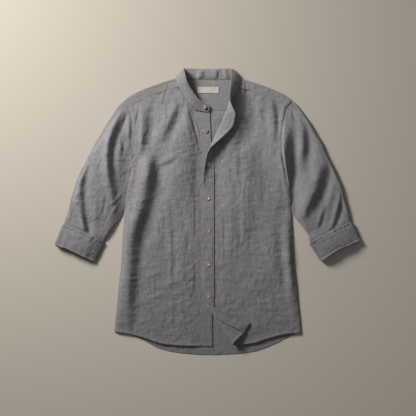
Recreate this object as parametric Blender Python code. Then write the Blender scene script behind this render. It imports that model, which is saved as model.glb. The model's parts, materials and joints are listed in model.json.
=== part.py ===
"""Mandarin collar shirt of grey linen, laid on its back with both sleeves out and the cuffs rolled up.

Metres, +Z up. The origin is on the surface the shirt lies on, under the middle of its box. +X points
to the viewer's right, which is the wearer's left, and +Y from the hem to the collar. The right front
lies over the left front. Its top is turned open like a lapel and its bottom corner is turned back.
Tables are in millimetres, and a row's columns are named above it.
"""

import math

import bmesh
import bpy
import numpy as np

MM = 0.001

# Cloth walls and the gap at a seam
PANEL_WALL = 1.2 * MM
BAND_WALL = 1.6 * MM
CUFF_WALL = 2.4 * MM
LABEL_WALL = 1.0 * MM
SEAM = 0.3 * MM

# Heights of the middle of a wall above the surface the shirt lies on
BACK_LEVEL = PANEL_WALL / 2
FRONT_LEVEL = 5.6 * MM
SIDE_LEVEL = PANEL_WALL + SEAM + PANEL_WALL / 2
UNDER_PLACKET_LEVEL = 3.0 * MM
OVER_PLACKET_LEVEL = UNDER_PLACKET_LEVEL + BAND_WALL + SEAM
LOWEST_FRONT = SIDE_LEVEL + 0.2 * MM

# The body, symmetric about its centre line
CENTRE_X = 1.5 * MM
SIDE_ROLL = 9.0 * MM
UNDERARM_Y = 5.0 * MM
ARMHOLE_TOP_Y = 303.0 * MM
ARMHOLE_GAP = 0.5 * MM
YOKE_SEAM_Y = 276.0 * MM
SHOULDER_WRAP = 26.0 * MM
SHOULDER_GAP = 0.8 * MM
PLACKET_GAP = 0.65 * MM
SHOULDER_RADIUS = (FRONT_LEVEL - BACK_LEVEL) / 2

# y, half the width of the body: side seam up to the underarm, then armhole
BODY_SIDE = (
    (-334, 256.5),
    (-298, 254),
    (-254, 249),
    (-210, 245.5),
    (-144, 238),
    (-78, 234.5),
    (-12, 230),
    (5, 229.5),
    (25, 227.5),
    (72, 220),
    (115, 212),
    (148, 206),
    (190, 202),
    (215, 203),
    (250, 208),
    (277, 214.5),
    (290, 220),
    (303, 233),
)

# y, height of the cloth along the armhole at the left and at the right
ARMHOLE_LEVEL = (
    (5, 2.1, 2.1),
    (40, 4.5, 5.5),
    (90, 6.5, 9.5),
    (150, 6, 11),
    (205, 6, 10.5),
    (250, 6.5, 7.5),
    (290, 5.8, 5.8),
    (303, 5.6, 5.6),
)

# half width, y: the fold of the shoulder from the neck to the armhole
SHOULDER = (
    (90, 366),
    (106, 361.8),
    (136, 352),
    (169, 340),
    (199, 327),
    (218, 316),
    (232, 303.5),
)

# x, y along the hems, left to right
BACK_HEM = (
    (-255, -328),
    (-222, -334),
    (-190, -346),
    (-154, -365),
    (-130, -377),
    (-75, -388),
    (0, -393.4),
    (75, -391),
    (124, -385),
    (159, -375),
    (191, -361),
    (222, -345),
    (258, -328),
)
LEFT_HEM = ((-255, -329), (-218, -334), (-183, -343), (-145, -356), (-120, -363), (-75, -367), (-20, -369))
RIGHT_HEM = ((18, -376), (78, -365), (117, -362), (159, -350), (207, -337), (238, -333), (258, -331))

# x, y of the neck edge of each front, from the end of the shoulder seam to the placket, and how far it
# stands above the rest of the front
LEFT_NECK = ((-81, 340.2, 1.8), (-72, 327, 2.2), (-64, 313, 2.5), (-41, 288, 1.5), (-31, 278, 0))
RIGHT_NECK = ((84.3, 340.2, 4.8), (78, 329, 6), (66, 311, 7), (59, 295, 8), (56, 276, 8.5))

# y, x of the seam between the front and its placket, and of the placket's free edge
LEFT_PLACKET_SEAM = ((-369, -20), (150, -19), (219, -22), (278, -31))
LEFT_PLACKET_EDGE = ((-369, 13), (145, 12), (219, 9), (275, 6))
RIGHT_PLACKET_SEAM = ((-376, 18), (150, 18), (182, 21), (202, 26), (225, 35), (250, 45.5), (276, 56))
# x, y along the seam of the open placket, and how far it stands above the rest
LAPEL_RISE = ((18, 150, 0), (21, 182, 1.5), (26, 202, 3), (35, 225, 5), (45.5, 250, 7), (56, 276, 8.5))
RISE_REACH = 24 * MM

# The placket of the right front, hem to collar. It lies flat below the break of the lapel and stands
# up above it.
# along its seam y, free edge x, y and height, then how far in from the free edge and how far below it
# the cloth comes, and how far left of the seam and above it the cloth goes
LAPEL = (
    (-173, -15, -173, 4.9, 11, 0, 11, 0),
    (-60, -15, -60, 4.9, 11, 0, 11, 0),
    (46, -15, 46, 4.9, 11, 0, 11, 0),
    (87, -10.5, 87, 9, 3, 2, 13, 0),
    (115, -8.5, 114, 13, -1, 4, 15, 0),
    (150, -3, 147, 18, -1.5, 6, 16, 0),
    (170, 1.5, 163, 22, -3, 8, 14, 1),
    (182, 8.5, 174, 25, -4, 8, 13, 2),
    (202, 28, 192, 25, -13, 5, 10, 4),
    (225, 52, 214, 24, -18, 3, 8, 5),
    (250, 71, 238, 23, -16, 1.5, 6, 5),
    (275.5, 76, 262, 24, -14, 1.5, 5, 6),
)

# The bottom corner of the right front, turned back to the right over a slanting roll
FLAP_START = (-4 * MM, -240 * MM)
FLAP_END = (75 * MM, -358 * MM)
FLAP_ROLL_START = 4.6 * MM
FLAP_ROLL_END = 7.2 * MM
FLAP_SLIDE = 0.23
FLAP_SETTLE = 60 * MM
FLAP_SETTLED = 0.3
ROLL_CUTS = 5
# y, x of the free edge below the lapel, drawn in where the corner turns back
FLAT_EDGE = ((-374, -15), (-310, -10), (-262, -4.5), (-243, -2), (-229, -5.5), (-204, -12), (-173, -15))

# The collar band, from the button end round the neck to the buttonhole end
# seam x, y, z, then top edge x, y, z
COLLAR = (
    (4, 275, 5.4, 5, 281, 7),
    (0, 274.5, 5.5, 3, 290, 8),
    (-11, 275.5, 5.8, -6, 298, 9),
    (-27, 279.5, 6.5, -14, 303, 10.5),
    (-40, 289, 7.2, -24, 308.5, 13),
    (-54, 303.5, 8, -35.5, 322.5, 16),
    (-72, 332, 7.8, -49.5, 343.5, 20),
    (-82, 350, 7, -56.5, 359, 24),
    (-84, 359, 6.8, -60.5, 374, 26),
    (-86, 365.6, 5.4, -64, 388, 25),
    (-87.5, 367.8, 3.2, -66.5, 392, 13),
    (-85.5, 365.3, 1.3, -64.5, 393, 3.4),
    (-78, 363.8, 0.9, -60, 393.3, 1.2),
    (-56, 363.5, 0.9, -50, 393, 0.9),
    (-20, 363.5, 0.9, -18, 392, 0.9),
    (20, 363.5, 0.9, 20, 392, 0.9),
    (60, 363.5, 0.9, 52, 393, 0.9),
    (80, 363.8, 0.9, 60, 393.3, 1.2),
    (89, 365.5, 1.4, 66, 393, 3),
    (91.5, 367.5, 3.8, 68.5, 391.5, 10),
    (89.5, 364.5, 7, 66.5, 387, 17),
    (87, 354, 9.2, 65, 367, 26),
    (85.5, 348, 9.8, 64.5, 356, 30),
    (76.5, 329.5, 11.8, 61.8, 326.5, 35),
    (64.5, 311.5, 12.8, 61, 305, 36),
    (57.5, 296, 13.6, 66, 290, 34),
    (54.3, 279.5, 14.6, 71, 280, 31),
    (54.5, 275.3, 17.8, 73.5, 275.5, 29.5),
    (59, 271.5, 20.8, 75, 271.5, 28.5),
    (67, 267, 23.3, 76, 268.5, 27.3),
    (75.3, 264.2, 25, 76.3, 266, 26.2),
)
COLLAR_BOW = 2.0 * MM

# One sleeve, shoulder to cuff, half a body away from the centre line
# outer edge x, y, inner edge x, y, armhole curve kept, edge radius, puff of the top
SLEEVE = (
    (233.5, 303, 230, 5, 1.0, 2.5, 0),
    (247, 290, 231, 2, 0.88, 3.2, 1),
    (263, 266, 233, -3, 0.7, 4.2, 3),
    (286, 230, 236, -10, 0.5, 5, 5),
    (310.5, 186, 241, -18, 0.32, 5, 6),
    (332.5, 142, 247, -26, 0.18, 5, 6),
    (354.5, 98, 255, -35, 0.08, 5, 6),
    (370, 54, 263, -46, 0.02, 5, 5),
    (382, 10, 274, -62, 0, 4.6, 3),
)
SLEEVE_RINGS = 12
CUFF_RADIUS = 7.2 * MM
CUFF_PUFF = 3.0 * MM
CUFF_BOW = 3.0 * MM
CUFF_MOUTH = 5.0 * MM
# How far the sleeve's end lies inside the cuff, and the radius of its edges there
SLEEVE_TUCK = 2.6 * MM
SLEEVE_END_RADIUS = 4.4 * MM
SLEEVE_END_PUFF = 1.5 * MM

# x, y at the four corners of each cuff, as it lies: at the sleeve, then at the hand
# side, outer top x, y, inner top x, y, outer bottom x, y, inner bottom x, y
CUFFS = (
    (-1, 397, -33, 283.5, -84.5, 421.5, -91, 311, -141),
    (1, 394, -28, 277.5, -86, 418.5, -80, 309.5, -136),
)

# Folds: soft ridges and, with a minus, troughs
# three points x, y along the crest, then height, half width
FRONT_FOLDS = (
    (-158, 142, -194, 30, -212, -60, 8, 14),
    (-212, -20, -224, -150, -238, -285, 7.5, 12),
    (-112, 110, -146, 0, -178, -100, -3, 15),
    (-176, -90, -190, -170, -208, -285, -3, 13),
    (-92, 287, -122, 238, -138, 203, 4, 10),
    (-66, 268, -95, 225, -112, 192, -2.6, 9),
    (-66, 300, -50, 226, -34, 176, 2.6, 7),
    (-150, 318, -176, 262, -172, 190, 3, 13),
    (-110, 60, -96, -60, -104, -200, 2.2, 16),
    (-60, -20, -70, -140, -52, -280, 1.8, 14),
    (184, 260, 190, 190, 188, 90, 4, 12),
    (196, 300, 196, 250, 194, 200, -1.5, 7),
    (212, -30, 220, -150, 228, -280, 3.6, 14),
    (96, 330, 92, 290, 92, 240, 2, 8),
    (120, 180, 108, 40, 118, -110, 2, 16),
    (60, 90, 66, -40, 58, -180, 1.8, 13),
    (170, 60, 176, -90, 168, -220, 2.2, 18),
)
LEFT_SLEEVE_FOLDS = (
    (-218, 290, -247, 190, -262, 90, -8.5, 8),
    (-262, 110, -262, 50, -250, 12, -6, 8),
    (-246, 288, -280, 176, -296, 80, 8, 15),
    (-226, 250, -234, 150, -240, 60, 3, 9),
    (-313, 108, -330, 68, -346, 22, -4.5, 7),
    (-328, 28, -336, -10, -331, -52, -4, 7),
    (-300, 40, -306, 0, -303, -48, 3, 8),
)
RIGHT_SLEEVE_FOLDS = (
    (226, 240, 229, 150, 238, 30, -8, 9),
    (258, 214, 256, 150, 250, 90, 3.5, 6),
    (276, 226, 280, 170, 272, 110, -5, 7),
    (298, 204, 304, 128, 276, 40, 5.5, 12),
    (338, 100, 314, 58, 284, -6, -6, 9),
    (352, 88, 332, 44, 306, -16, 5, 9),
    (376, 14, 362, -20, 342, -56, -4, 7),
)

# x, y, height of the middle of the back of each button, top to bottom, and its lean to the right in degrees
BUTTONS = (
    (-9, 287, 9.9, 0),
    (-4, 222, 4.1, 0),
    (3, 131, 8.2, 20),
    (2, 38, 6.1, 0),
    (2, -52, 6.0, 0),
    (2, -144, 6.0, 0),
    (4, -230, 6.0, 0),
)
BUTTON_SIDES = 16
# radius, height of the turned profile, from the middle of the back to the middle of the face
BUTTON_PROFILE = ((0, 0), (4.6, 0), (5.6, 0.7), (5.75, 1.3), (5.2, 2.1), (4.4, 2.2), (3.6, 1.6), (0, 1.5))

LABEL_X = (-26 * MM, 31 * MM)
LABEL_Y = (326 * MM, 342.5 * MM)


def clear_scene():
    """Removes whatever the scene holds."""
    for obj in list(bpy.data.objects):
        bpy.data.objects.remove(obj, do_unlink=True)


def finish(name, colour, roughness):
    """A plain material."""
    material = bpy.data.materials.new(name)
    material.use_nodes = True
    shader = material.node_tree.nodes["Principled BSDF"]
    shader.inputs["Base Color"].default_value = (*colour, 1.0)
    shader.inputs["Roughness"].default_value = roughness
    shader.inputs["Metallic"].default_value = 0.0
    return material


def ease(start, end, value):
    """0 before start, 1 after end, and a smooth step between them."""
    t = np.clip((value - start) / (end - start), 0.0, 1.0)
    return t * t * (3.0 - 2.0 * t)


def along(rows, t):
    """Values at t, 0 to 1 by length, on a smooth curve through the rows."""
    rows = np.array(rows, float)
    steps = np.linalg.norm(np.diff(rows, axis=0), axis=1)
    knots = np.concatenate([[0.0], np.cumsum(steps)]) / steps.sum()
    return smooth_values(knots, rows, t)


def smooth_values(knots, rows, t):
    """Values at t on a cubic curve that passes through the rows at their knots and never overshoots them."""
    steps = np.diff(rows, axis=0) / np.diff(knots)[:, None]
    before, after = steps[:-1], steps[1:]
    both = np.where(before + after == 0, 1, before + after)
    level = np.where(before * after > 0, 2 * before * after / both, 0)
    slopes = np.concatenate([steps[:1], level, steps[-1:]])
    t = np.atleast_1d(np.asarray(t, float))
    k = np.clip(np.searchsorted(knots, t, side="right") - 1, 0, len(knots) - 2)
    span = knots[k + 1] - knots[k]
    s = ((t - knots[k]) / span)[:, None]
    span = span[:, None]
    start = (1 + 2 * s) * (1 - s) ** 2 * rows[k] + s * (1 - s) ** 2 * span * slopes[k]
    end = s * s * (3 - 2 * s) * rows[k + 1] + s * s * (s - 1) * span * slopes[k + 1]
    return start + end


def by_first(rows, value):
    """The other columns, in metres, at this value of a table's first column, which rises."""
    table = np.array(rows, float) * MM
    return smooth_values(table[:, 0], table[:, 1:], value)


def nearest(x, y, line):
    """Distance from each point to the line, and where along it, 0 to 1, the nearest place is."""
    distance = np.full(x.shape, np.inf)
    place = np.zeros(x.shape)
    for k, (start, end) in enumerate(zip(line, line[1:])):
        run = end - start
        t = ((x - start[0]) * run[0] + (y - start[1]) * run[1]) / run.dot(run)
        t = np.clip(t, 0.0, 1.0)
        away = np.hypot(x - start[0] - t * run[0], y - start[1] - t * run[1])
        nearer = away < distance
        distance = np.where(nearer, away, distance)
        place = np.where(nearer, (k + t) / (len(line) - 1), place)
    return distance, place


def fold_relief(x, y, folds):
    """Height that the folds add at each point."""
    relief = np.zeros_like(x)
    for x0, y0, x1, y1, x2, y2, height, width in folds:
        crest = along(((x0, y0), (x1, y1), (x2, y2)), np.linspace(0, 1, 9)) * MM
        distance, place = nearest(x, y, crest)
        fade = ease(0.0, 0.3, place) * (1.0 - ease(0.7, 1.0, place))
        relief += height * MM * fade * np.exp(-((distance / (width * MM)) ** 2))
    return relief


def edge_rise(x, y, rows):
    """Height added near an edge that stands up."""
    table = np.array(rows, float) * MM
    distance, place = nearest(x, y, table[:, :2])
    knots = np.linspace(0, 1, len(table))
    return np.interp(place, knots, table[:, 2]) * np.exp(-((distance / RISE_REACH) ** 2))


def softly_above(level, lowest):
    """The level, bent so that it never comes under the lowest."""
    soft = 1.2 * MM
    return lowest + soft * np.logaddexp(0.0, (level - lowest) / soft)


def side_half(y):
    """Half the width of the body at this height."""
    return by_first(BODY_SIDE, y)[:, 0]


def armhole_level(y, side):
    """Height of the cloth along the armhole."""
    return by_first(ARMHOLE_LEVEL, np.clip(y, UNDERARM_Y, ARMHOLE_TOP_Y))[:, 0 if side < 0 else 1]


def front_level(x, y, side, seam_x, seam_level, rises):
    """Height of a front's wall: folds, rolled down at its side and level at its placket."""
    rows = np.clip(y, -334 * MM, ARMHOLE_TOP_Y).ravel()
    half = side_half(rows).reshape(y.shape)
    from_side = np.maximum(half - np.abs(x - CENTRE_X), 0.0)
    from_placket = np.abs(x - seam_x)
    calm = ease(0.0, 40 * MM, from_placket) * ease(0.0, 22 * MM, from_side)
    calm *= ease(-335 * MM, -300 * MM, y) * 0.7 + 0.3
    base = seam_level + (FRONT_LEVEL - seam_level) * ease(0.0, 30 * MM, from_placket)
    at_armhole = armhole_level(rows, side).reshape(y.shape)
    beside = (y > UNDERARM_Y) * (1.0 - ease(0.0, 34 * MM, from_side))
    base = base + (at_armhole - base) * beside
    level = softly_above(base + calm * fold_relief(x, y, FRONT_FOLDS), LOWEST_FRONT)
    level = level + np.max([edge_rise(x, y, rise) for rise in rises], axis=0)
    rolled = 1.0 - ease(UNDERARM_Y - 30 * MM, UNDERARM_Y, y)
    round_off = np.sqrt(1.0 - (1.0 - np.clip(from_side / SIDE_ROLL, 0.0, 1.0)) ** 2)
    return level - rolled * (level - SIDE_LEVEL) * (1.0 - round_off)


def armhole_rows(count=13):
    """Rows along the armhole that every piece meeting there shares."""
    return np.linspace(UNDERARM_Y, ARMHOLE_TOP_Y, count)


def seam_rows(hem, neck):
    """Rows along a placket's seam, closer together where the placket curves."""
    return np.concatenate([np.linspace(hem, 150, 20), np.linspace(150, neck, 10)[1:]]) * MM


def patch(left, right, bottom, top, across, blend):
    """Grid of points, row by row, that meets four edges. across holds each column's share of the width."""
    rows = np.linspace(0.0, 1.0, len(left))
    share = across[None, :, None]
    grid = left[:, None] * (1 - share) + right[:, None] * share
    low = bottom - (bottom[0] * (1 - across[:, None]) + bottom[-1] * across[:, None])
    high = top - (top[0] * (1 - across[:, None]) + top[-1] * across[:, None])
    grid += ((1 - rows) ** blend)[:, None, None] * low[None]
    grid += (rows**blend)[:, None, None] * high[None]
    return grid


def grid_faces(rows, columns, closed=False):
    """Quads of a grid of points. A closed grid joins its last column to its first."""
    quads = []
    for i in range(rows - 1):
        for j in range(columns if closed else columns - 1):
            k = (j + 1) % columns
            quads.append((i * columns + j, i * columns + k, (i + 1) * columns + k, (i + 1) * columns + j))
    return quads


def triangles_of(quads):
    """Two triangles for each quad."""
    return [corner for a, b, c, d in quads for corner in ((a, b, c), (a, c, d))]


def point_normals(points, triangles):
    """Unit normal at each point, weighed by the area of the triangles round it."""
    corners = points[np.array(triangles)]
    faces = np.cross(corners[:, 1] - corners[:, 0], corners[:, 2] - corners[:, 0])
    normals = np.zeros_like(points)
    for corner in range(3):
        np.add.at(normals, np.array(triangles)[:, corner], faces)
    return normals / np.linalg.norm(normals, axis=1, keepdims=True)


def add_solid(name, points, faces, material):
    """Adds a closed mesh as an object, with its faces outwards."""
    mesh = bpy.data.meshes.new(name)
    mesh.from_pydata([tuple(point) for point in points], [], faces)
    solid = bmesh.new()
    solid.from_mesh(mesh)
    bmesh.ops.recalc_face_normals(solid, faces=solid.faces)
    solid.to_mesh(mesh)
    solid.free()
    mesh.shade_smooth()
    mesh.materials.append(material)
    obj = bpy.data.objects.new(name, mesh)
    bpy.context.collection.objects.link(obj)
    return obj


def add_wall(name, points, triangles, wall, material):
    """Adds a wall of cloth whose middle is the given surface."""
    normals = point_normals(points, triangles)
    count = len(points)
    both = np.concatenate([points + normals * wall / 2, points - normals * wall / 2])
    faces = list(triangles)
    faces += [(c + count, b + count, a + count) for a, b, c in triangles]
    used = {}
    for a, b, c in triangles:
        for edge in ((a, b), (b, c), (c, a)):
            used[edge] = True
    for a, b in used:
        if (b, a) not in used:
            faces += [(b, a, a + count), (b, a + count, b + count)]
    return add_solid(name, both, faces, material)


def raised(plan, level):
    """Points in space from points in plan and their heights."""
    return np.concatenate([plan, level[..., None]], axis=-1)


def column_shares(near_side, neck, at_placket):
    """Shares of a front's width at its columns: close at the rolled side, with one on the neck point."""
    outer = np.concatenate([[0.0, 0.012, 0.032, 0.07], np.linspace(0.14, neck, near_side)])
    return np.concatenate([outer, np.linspace(neck, 1.0, at_placket)[1:]])


def shoulder_seam(side):
    """The seam in front of the shoulder, armhole to neck."""
    shoulder = np.array(SHOULDER[::-1], float) * MM
    run = np.gradient(shoulder, axis=0)
    inward = np.stack([run[:, 1], -run[:, 0]], axis=1) / np.linalg.norm(run, axis=1)[:, None]
    inward *= np.sign(-inward[:, 1:2])
    seam = shoulder + inward * (SHOULDER_WRAP + SHOULDER_GAP)
    seam[:, 0] = CENTRE_X + side * seam[:, 0]
    return seam


def front_top(shares, neck, side, neck_edge):
    """Top edge of a front: the shoulder seam to the neck point, then the neck edge."""
    seam = shoulder_seam(side) / MM
    edge = np.array(neck_edge, float)[:, :2]
    seam[-1] = edge[0]
    over = along(seam, np.clip(shares / neck, 0, 1))
    down = along(edge, np.clip((shares - neck) / (1 - neck), 0, 1))
    return np.where((shares <= neck)[:, None], over, down) * MM


def front_grid(side, shares, neck, hem, neck_edge, seam):
    """Points in plan of one front, hem to shoulder and side to placket."""
    top = front_top(shares, neck, side, neck_edge)
    hem = np.array(hem if side < 0 else hem[::-1], float)
    bottom = along(hem, shares) * MM
    y_seam = seam_rows(bottom[-1, 1] / MM, top[-1, 1] / MM)
    arm = armhole_rows()
    y_side = np.concatenate([np.linspace(bottom[0, 1], arm[0], len(y_seam) - len(arm) + 1)[:-1], arm])
    gap = SEAM * ease(UNDERARM_Y - 20 * MM, UNDERARM_Y, y_side)
    outer = np.stack([CENTRE_X + side * (side_half(y_side) - gap), y_side], axis=1)
    outer[0], outer[-1] = bottom[0], top[0]
    inner = np.stack([by_first(seam, y_seam)[:, 0], y_seam], axis=1)
    return patch(outer, inner, bottom, top, shares, 3)


def flap_frame():
    """Start of the slanting roll, its direction, its length and the direction to the turned corner."""
    start = np.array(FLAP_START)
    run = np.array(FLAP_END) - start
    length = np.linalg.norm(run)
    run /= length
    return start, run, length, np.array([run[1], -run[0]])


def turn_flap(points):
    """Turns the corner beyond the slanting roll back over the front, round the roll."""
    start, run, length, out = flap_frame()
    t = (points[:, :2] - start) @ run
    s = (points[:, :2] - start) @ out
    radius = FLAP_ROLL_START + (FLAP_ROLL_END - FLAP_ROLL_START) * np.clip(t / length, 0.0, 1.1)
    turned = s > 0
    angle = np.clip(s / radius, 0.0, math.pi)
    past = np.maximum(s - math.pi * radius, 0.0)
    settled = 1.0 - (1.0 - FLAP_SETTLED) * ease(0.0, FLAP_SETTLE, past)
    beyond = radius * np.sin(angle) - past
    slid = t + FLAP_SLIDE * past
    plan = start + slid[:, None] * run + beyond[:, None] * out
    lift = radius * (1.0 - np.cos(angle)) * settled
    moved = np.concatenate([plan, (points[:, 2] + lift)[:, None]], axis=1)
    return np.where(turned[:, None], moved, points)


def cut_along_roll(points, quads, reach):
    """Cuts a flat mesh along the lines where the slanting roll starts, bends and ends."""
    start, _, _, out = flap_frame()
    mesh = bmesh.new()
    corners = [mesh.verts.new((x, y, 0.0)) for x, y in points]
    for quad in quads:
        mesh.faces.new([corners[k] for k in quad])
    widest = math.pi * FLAP_ROLL_END
    for cut in range(ROLL_CUTS):
        place = start + out * widest * cut / (ROLL_CUTS - 1)
        near = [face for face in mesh.faces if max(corner.co.y for corner in face.verts) < reach]
        nearby = list({edge for face in near for edge in face.edges})
        ends = list({corner for face in near for corner in face.verts})
        bmesh.ops.bisect_plane(
            mesh, geom=near + nearby + ends, plane_co=(*place, 0.0), plane_no=(*out, 0.0), dist=1e-5
        )
    bmesh.ops.triangulate(mesh, faces=mesh.faces)
    mesh.verts.index_update()
    flat = np.array([corner.co[:2] for corner in mesh.verts])
    triangles = [tuple(corner.index for corner in face.verts) for face in mesh.faces]
    mesh.free()
    return flat, triangles


def build_back(cloth):
    """Back, flat on the surface, below the yoke."""
    columns = 15
    share = np.linspace(0, 1, columns)
    arm = armhole_rows()
    arm = np.append(arm[arm < YOKE_SEAM_Y - SEAM], YOKE_SEAM_Y - SEAM)
    y = np.concatenate([np.linspace(BACK_HEM[0][1] * MM, arm[0], 8)[:-1], arm])
    half = side_half(y) - SEAM * ease(UNDERARM_Y - 20 * MM, UNDERARM_Y, y)
    left = np.stack([CENTRE_X - half, y], axis=1)
    right = np.stack([CENTRE_X + half, y], axis=1)
    bottom = along(BACK_HEM, share) * MM
    top = left[-1] * (1 - share[:, None]) + right[-1] * share[:, None]
    left[0], right[0] = bottom[0], bottom[-1]
    plan = patch(left, right, bottom, top, share, 4)
    points = raised(plan, np.full(plan.shape[:2], BACK_LEVEL)).reshape(-1, 3)
    return add_wall("back", points, triangles_of(grid_faces(len(y), columns)), PANEL_WALL, cloth)


def build_yoke(cloth):
    """Yoke: flat behind the shoulders, then wrapped over each to its seam on the front, open at the neck."""
    over = along(SHOULDER, np.linspace(0, 1, 8)) * MM
    neck = np.stack([np.linspace(-72, 72, 7), np.full(7, 362.5)], axis=1) * MM
    edge = np.concatenate([over[::-1] * np.array([-1.0, 1.0]), neck, over]) + np.array([CENTRE_X, 0.0])
    wraps = np.concatenate([np.ones(8), np.zeros(7), np.ones(8)])[:, None]
    run = np.gradient(edge, axis=0)
    run[7], run[15] = edge[7] - edge[6], edge[16] - edge[15]
    outward = np.stack([-run[:, 1], run[:, 0]], axis=1) / np.linalg.norm(run, axis=1)[:, None]
    start = edge - outward * (SHOULDER_RADIUS + PANEL_WALL / 2) * wraps - outward * 6 * MM * (1 - wraps)
    y = np.array([YOKE_SEAM_Y, 284 * MM, 292 * MM, start[0, 1]])
    half = side_half(y) - SEAM
    left = np.stack([CENTRE_X - half, y], axis=1)
    right = np.stack([CENTRE_X + half, y], axis=1)
    share = np.linspace(0, 1, len(edge))
    left[-1], right[-1] = start[0], start[-1]
    low = left[0] * (1 - share[:, None]) + right[0] * share[:, None]
    flat = patch(left, right, low, start, share, 1)
    rows = [raised(row, np.full(len(edge), BACK_LEVEL)) for row in flat]
    for k in range(1, 5):
        angle = math.pi * k / 4
        across = start + outward * SHOULDER_RADIUS * math.sin(angle)
        rolled = raised(across, np.full(len(edge), BACK_LEVEL + SHOULDER_RADIUS * (1 - math.cos(angle))))
        level = raised(start + outward * 6 * MM * k / 5, np.full(len(edge), BACK_LEVEL))
        rows.append(rolled * wraps + level * (1 - wraps))
    last_rolled = len(rows) - 1
    for part in (1 / 3, 2 / 3, 1.0):
        inside = edge - outward * (SHOULDER_RADIUS + (SHOULDER_WRAP - SHOULDER_RADIUS) * part)
        rise = np.maximum(edge_rise(*inside.T, LEFT_NECK), edge_rise(*inside.T, RIGHT_NECK))
        front = raised(inside, FRONT_LEVEL + rise * ease(0, 1, part))
        behind = raised(edge, np.full(len(edge), BACK_LEVEL)) - np.array([0, 1 - part, 0]) * MM
        rows.append(front * wraps + behind * (1 - wraps))
    grid = np.array(rows)
    open_columns = (7, 14)
    quads = []
    for quad in grid_faces(len(rows), len(edge)):
        row, column = divmod(quad[0], len(edge))
        if row < last_rolled or column not in open_columns:
            quads.append(quad)
    return add_wall("yoke", grid.reshape(-1, 3), triangles_of(quads), PANEL_WALL, cloth)


def build_left_front(cloth):
    """Left front, which carries the buttons and lies under the other."""
    neck = 0.72
    shares = column_shares(6, neck, 4)
    plan = front_grid(-1, shares, neck, LEFT_HEM, LEFT_NECK, LEFT_PLACKET_SEAM)
    x, y = plan[..., 0], plan[..., 1]
    seam_x = by_first(LEFT_PLACKET_SEAM, y.ravel())[:, 0].reshape(y.shape)
    level = front_level(x, y, -1, seam_x, UNDER_PLACKET_LEVEL, (LEFT_NECK,))
    triangles = triangles_of(grid_faces(*plan.shape[:2]))
    return add_wall("left_front", raised(plan, level).reshape(-1, 3), triangles, PANEL_WALL, cloth)


def build_right_front(cloth):
    """Right front, on top, with its bottom corner turned back."""
    neck = 0.8
    shares = column_shares(7, neck, 4)
    plan = front_grid(1, shares, neck, RIGHT_HEM, RIGHT_NECK, RIGHT_PLACKET_SEAM)[:, ::-1]
    flat, triangles = cut_along_roll(plan.reshape(-1, 2), grid_faces(*plan.shape[:2]), -225 * MM)
    x, y = flat[:, 0], flat[:, 1]
    seam_x = by_first(RIGHT_PLACKET_SEAM, y)[:, 0]
    level = front_level(x, y, 1, seam_x, OVER_PLACKET_LEVEL, (RIGHT_NECK, LAPEL_RISE))
    return add_wall("right_front", turn_flap(raised(flat, level)), triangles, PANEL_WALL, cloth)


def build_button_placket(cloth):
    """Placket of the left front, flat under the other."""
    columns = 4
    y = seam_rows(-369, 278)
    y[-1] = 273 * MM
    seam = by_first(LEFT_PLACKET_SEAM, y)[:, 0] + PLACKET_GAP
    edge = by_first(LEFT_PLACKET_EDGE, y)[:, 0]
    share = np.linspace(0, 1, columns)
    x = seam[:, None] * (1 - share) + edge[:, None] * share
    plan = np.stack([x, np.repeat(y[:, None], columns, axis=1)], axis=-1)
    points = raised(plan, np.full(x.shape, UNDER_PLACKET_LEVEL)).reshape(-1, 3)
    return add_wall("button_placket", points, triangles_of(grid_faces(len(y), columns)), BAND_WALL, cloth)


def lapel_section(row, share):
    """One section of the right front's placket, free edge to seam."""
    y_seam, edge_x, edge_y, edge_z, lean, drop, run, climb = np.array(row) * MM
    seam_x = by_first(RIGHT_PLACKET_SEAM, y_seam)[0, 0]
    rise = edge_rise(np.array([seam_x]), np.array([y_seam]), LAPEL_RISE)[0]
    seam = np.array([seam_x - PLACKET_GAP - climb / 2.4, y_seam, OVER_PLACKET_LEVEL + rise])
    edge = np.array([edge_x, edge_y, edge_z])
    near_edge = edge + np.array([lean, 0.0, -drop])
    near_seam = seam + np.array([-run, 0.0, climb])
    s = share[:, None]
    middle = 3 * (1 - s) ** 2 * s * near_edge + 3 * (1 - s) * s * s * near_seam
    return (1 - s) ** 3 * edge + middle + s**3 * seam


def build_buttonhole_placket(cloth):
    """Placket of the right front: turned open above the break, flat below it, turned back at the hem."""
    columns = 7
    share = np.linspace(0, 1, columns)
    stations = seam_rows(-376, 276)
    first_standing = int(np.searchsorted(stations, -175 * MM))
    table = np.array(LAPEL, float)
    upper = smooth_values(table[:, 0], table, stations[first_standing:] / MM)
    standing = np.array([lapel_section(row, share) for row in upper])
    seam_y = stations[: first_standing + 1]
    seam_x = by_first(RIGHT_PLACKET_SEAM, seam_y)[:, 0] - PLACKET_GAP
    seam = np.stack([seam_x, seam_y], axis=1)
    edge_y = np.linspace(FLAT_EDGE[0][0] * MM, seam_y[-1], len(seam_y))
    edge = np.stack([by_first(FLAT_EDGE, edge_y)[:, 0], edge_y], axis=1)
    flat = edge[:, None] * (1 - share[None, :, None]) + seam[:, None] * share[None, :, None]
    low, triangles = cut_along_roll(flat.reshape(-1, 2), grid_faces(len(seam_y), columns), -200 * MM)
    points = turn_flap(raised(low, np.full(len(low), OVER_PLACKET_LEVEL)))
    joined = np.concatenate([points, standing.reshape(-1, 3)])
    top_of_low = [int(np.argmin(np.hypot(*(low - corner).T))) for corner in flat[-1]]
    shared = {len(points) + j: k for j, k in enumerate(top_of_low)}
    for corners in triangles_of(grid_faces(len(upper), columns)):
        corners = [corner + len(points) for corner in corners]
        triangles.append(tuple(shared.get(corner, corner) for corner in corners))
    return add_wall("buttonhole_placket", *only_used(joined, triangles), BAND_WALL, cloth)


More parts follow.
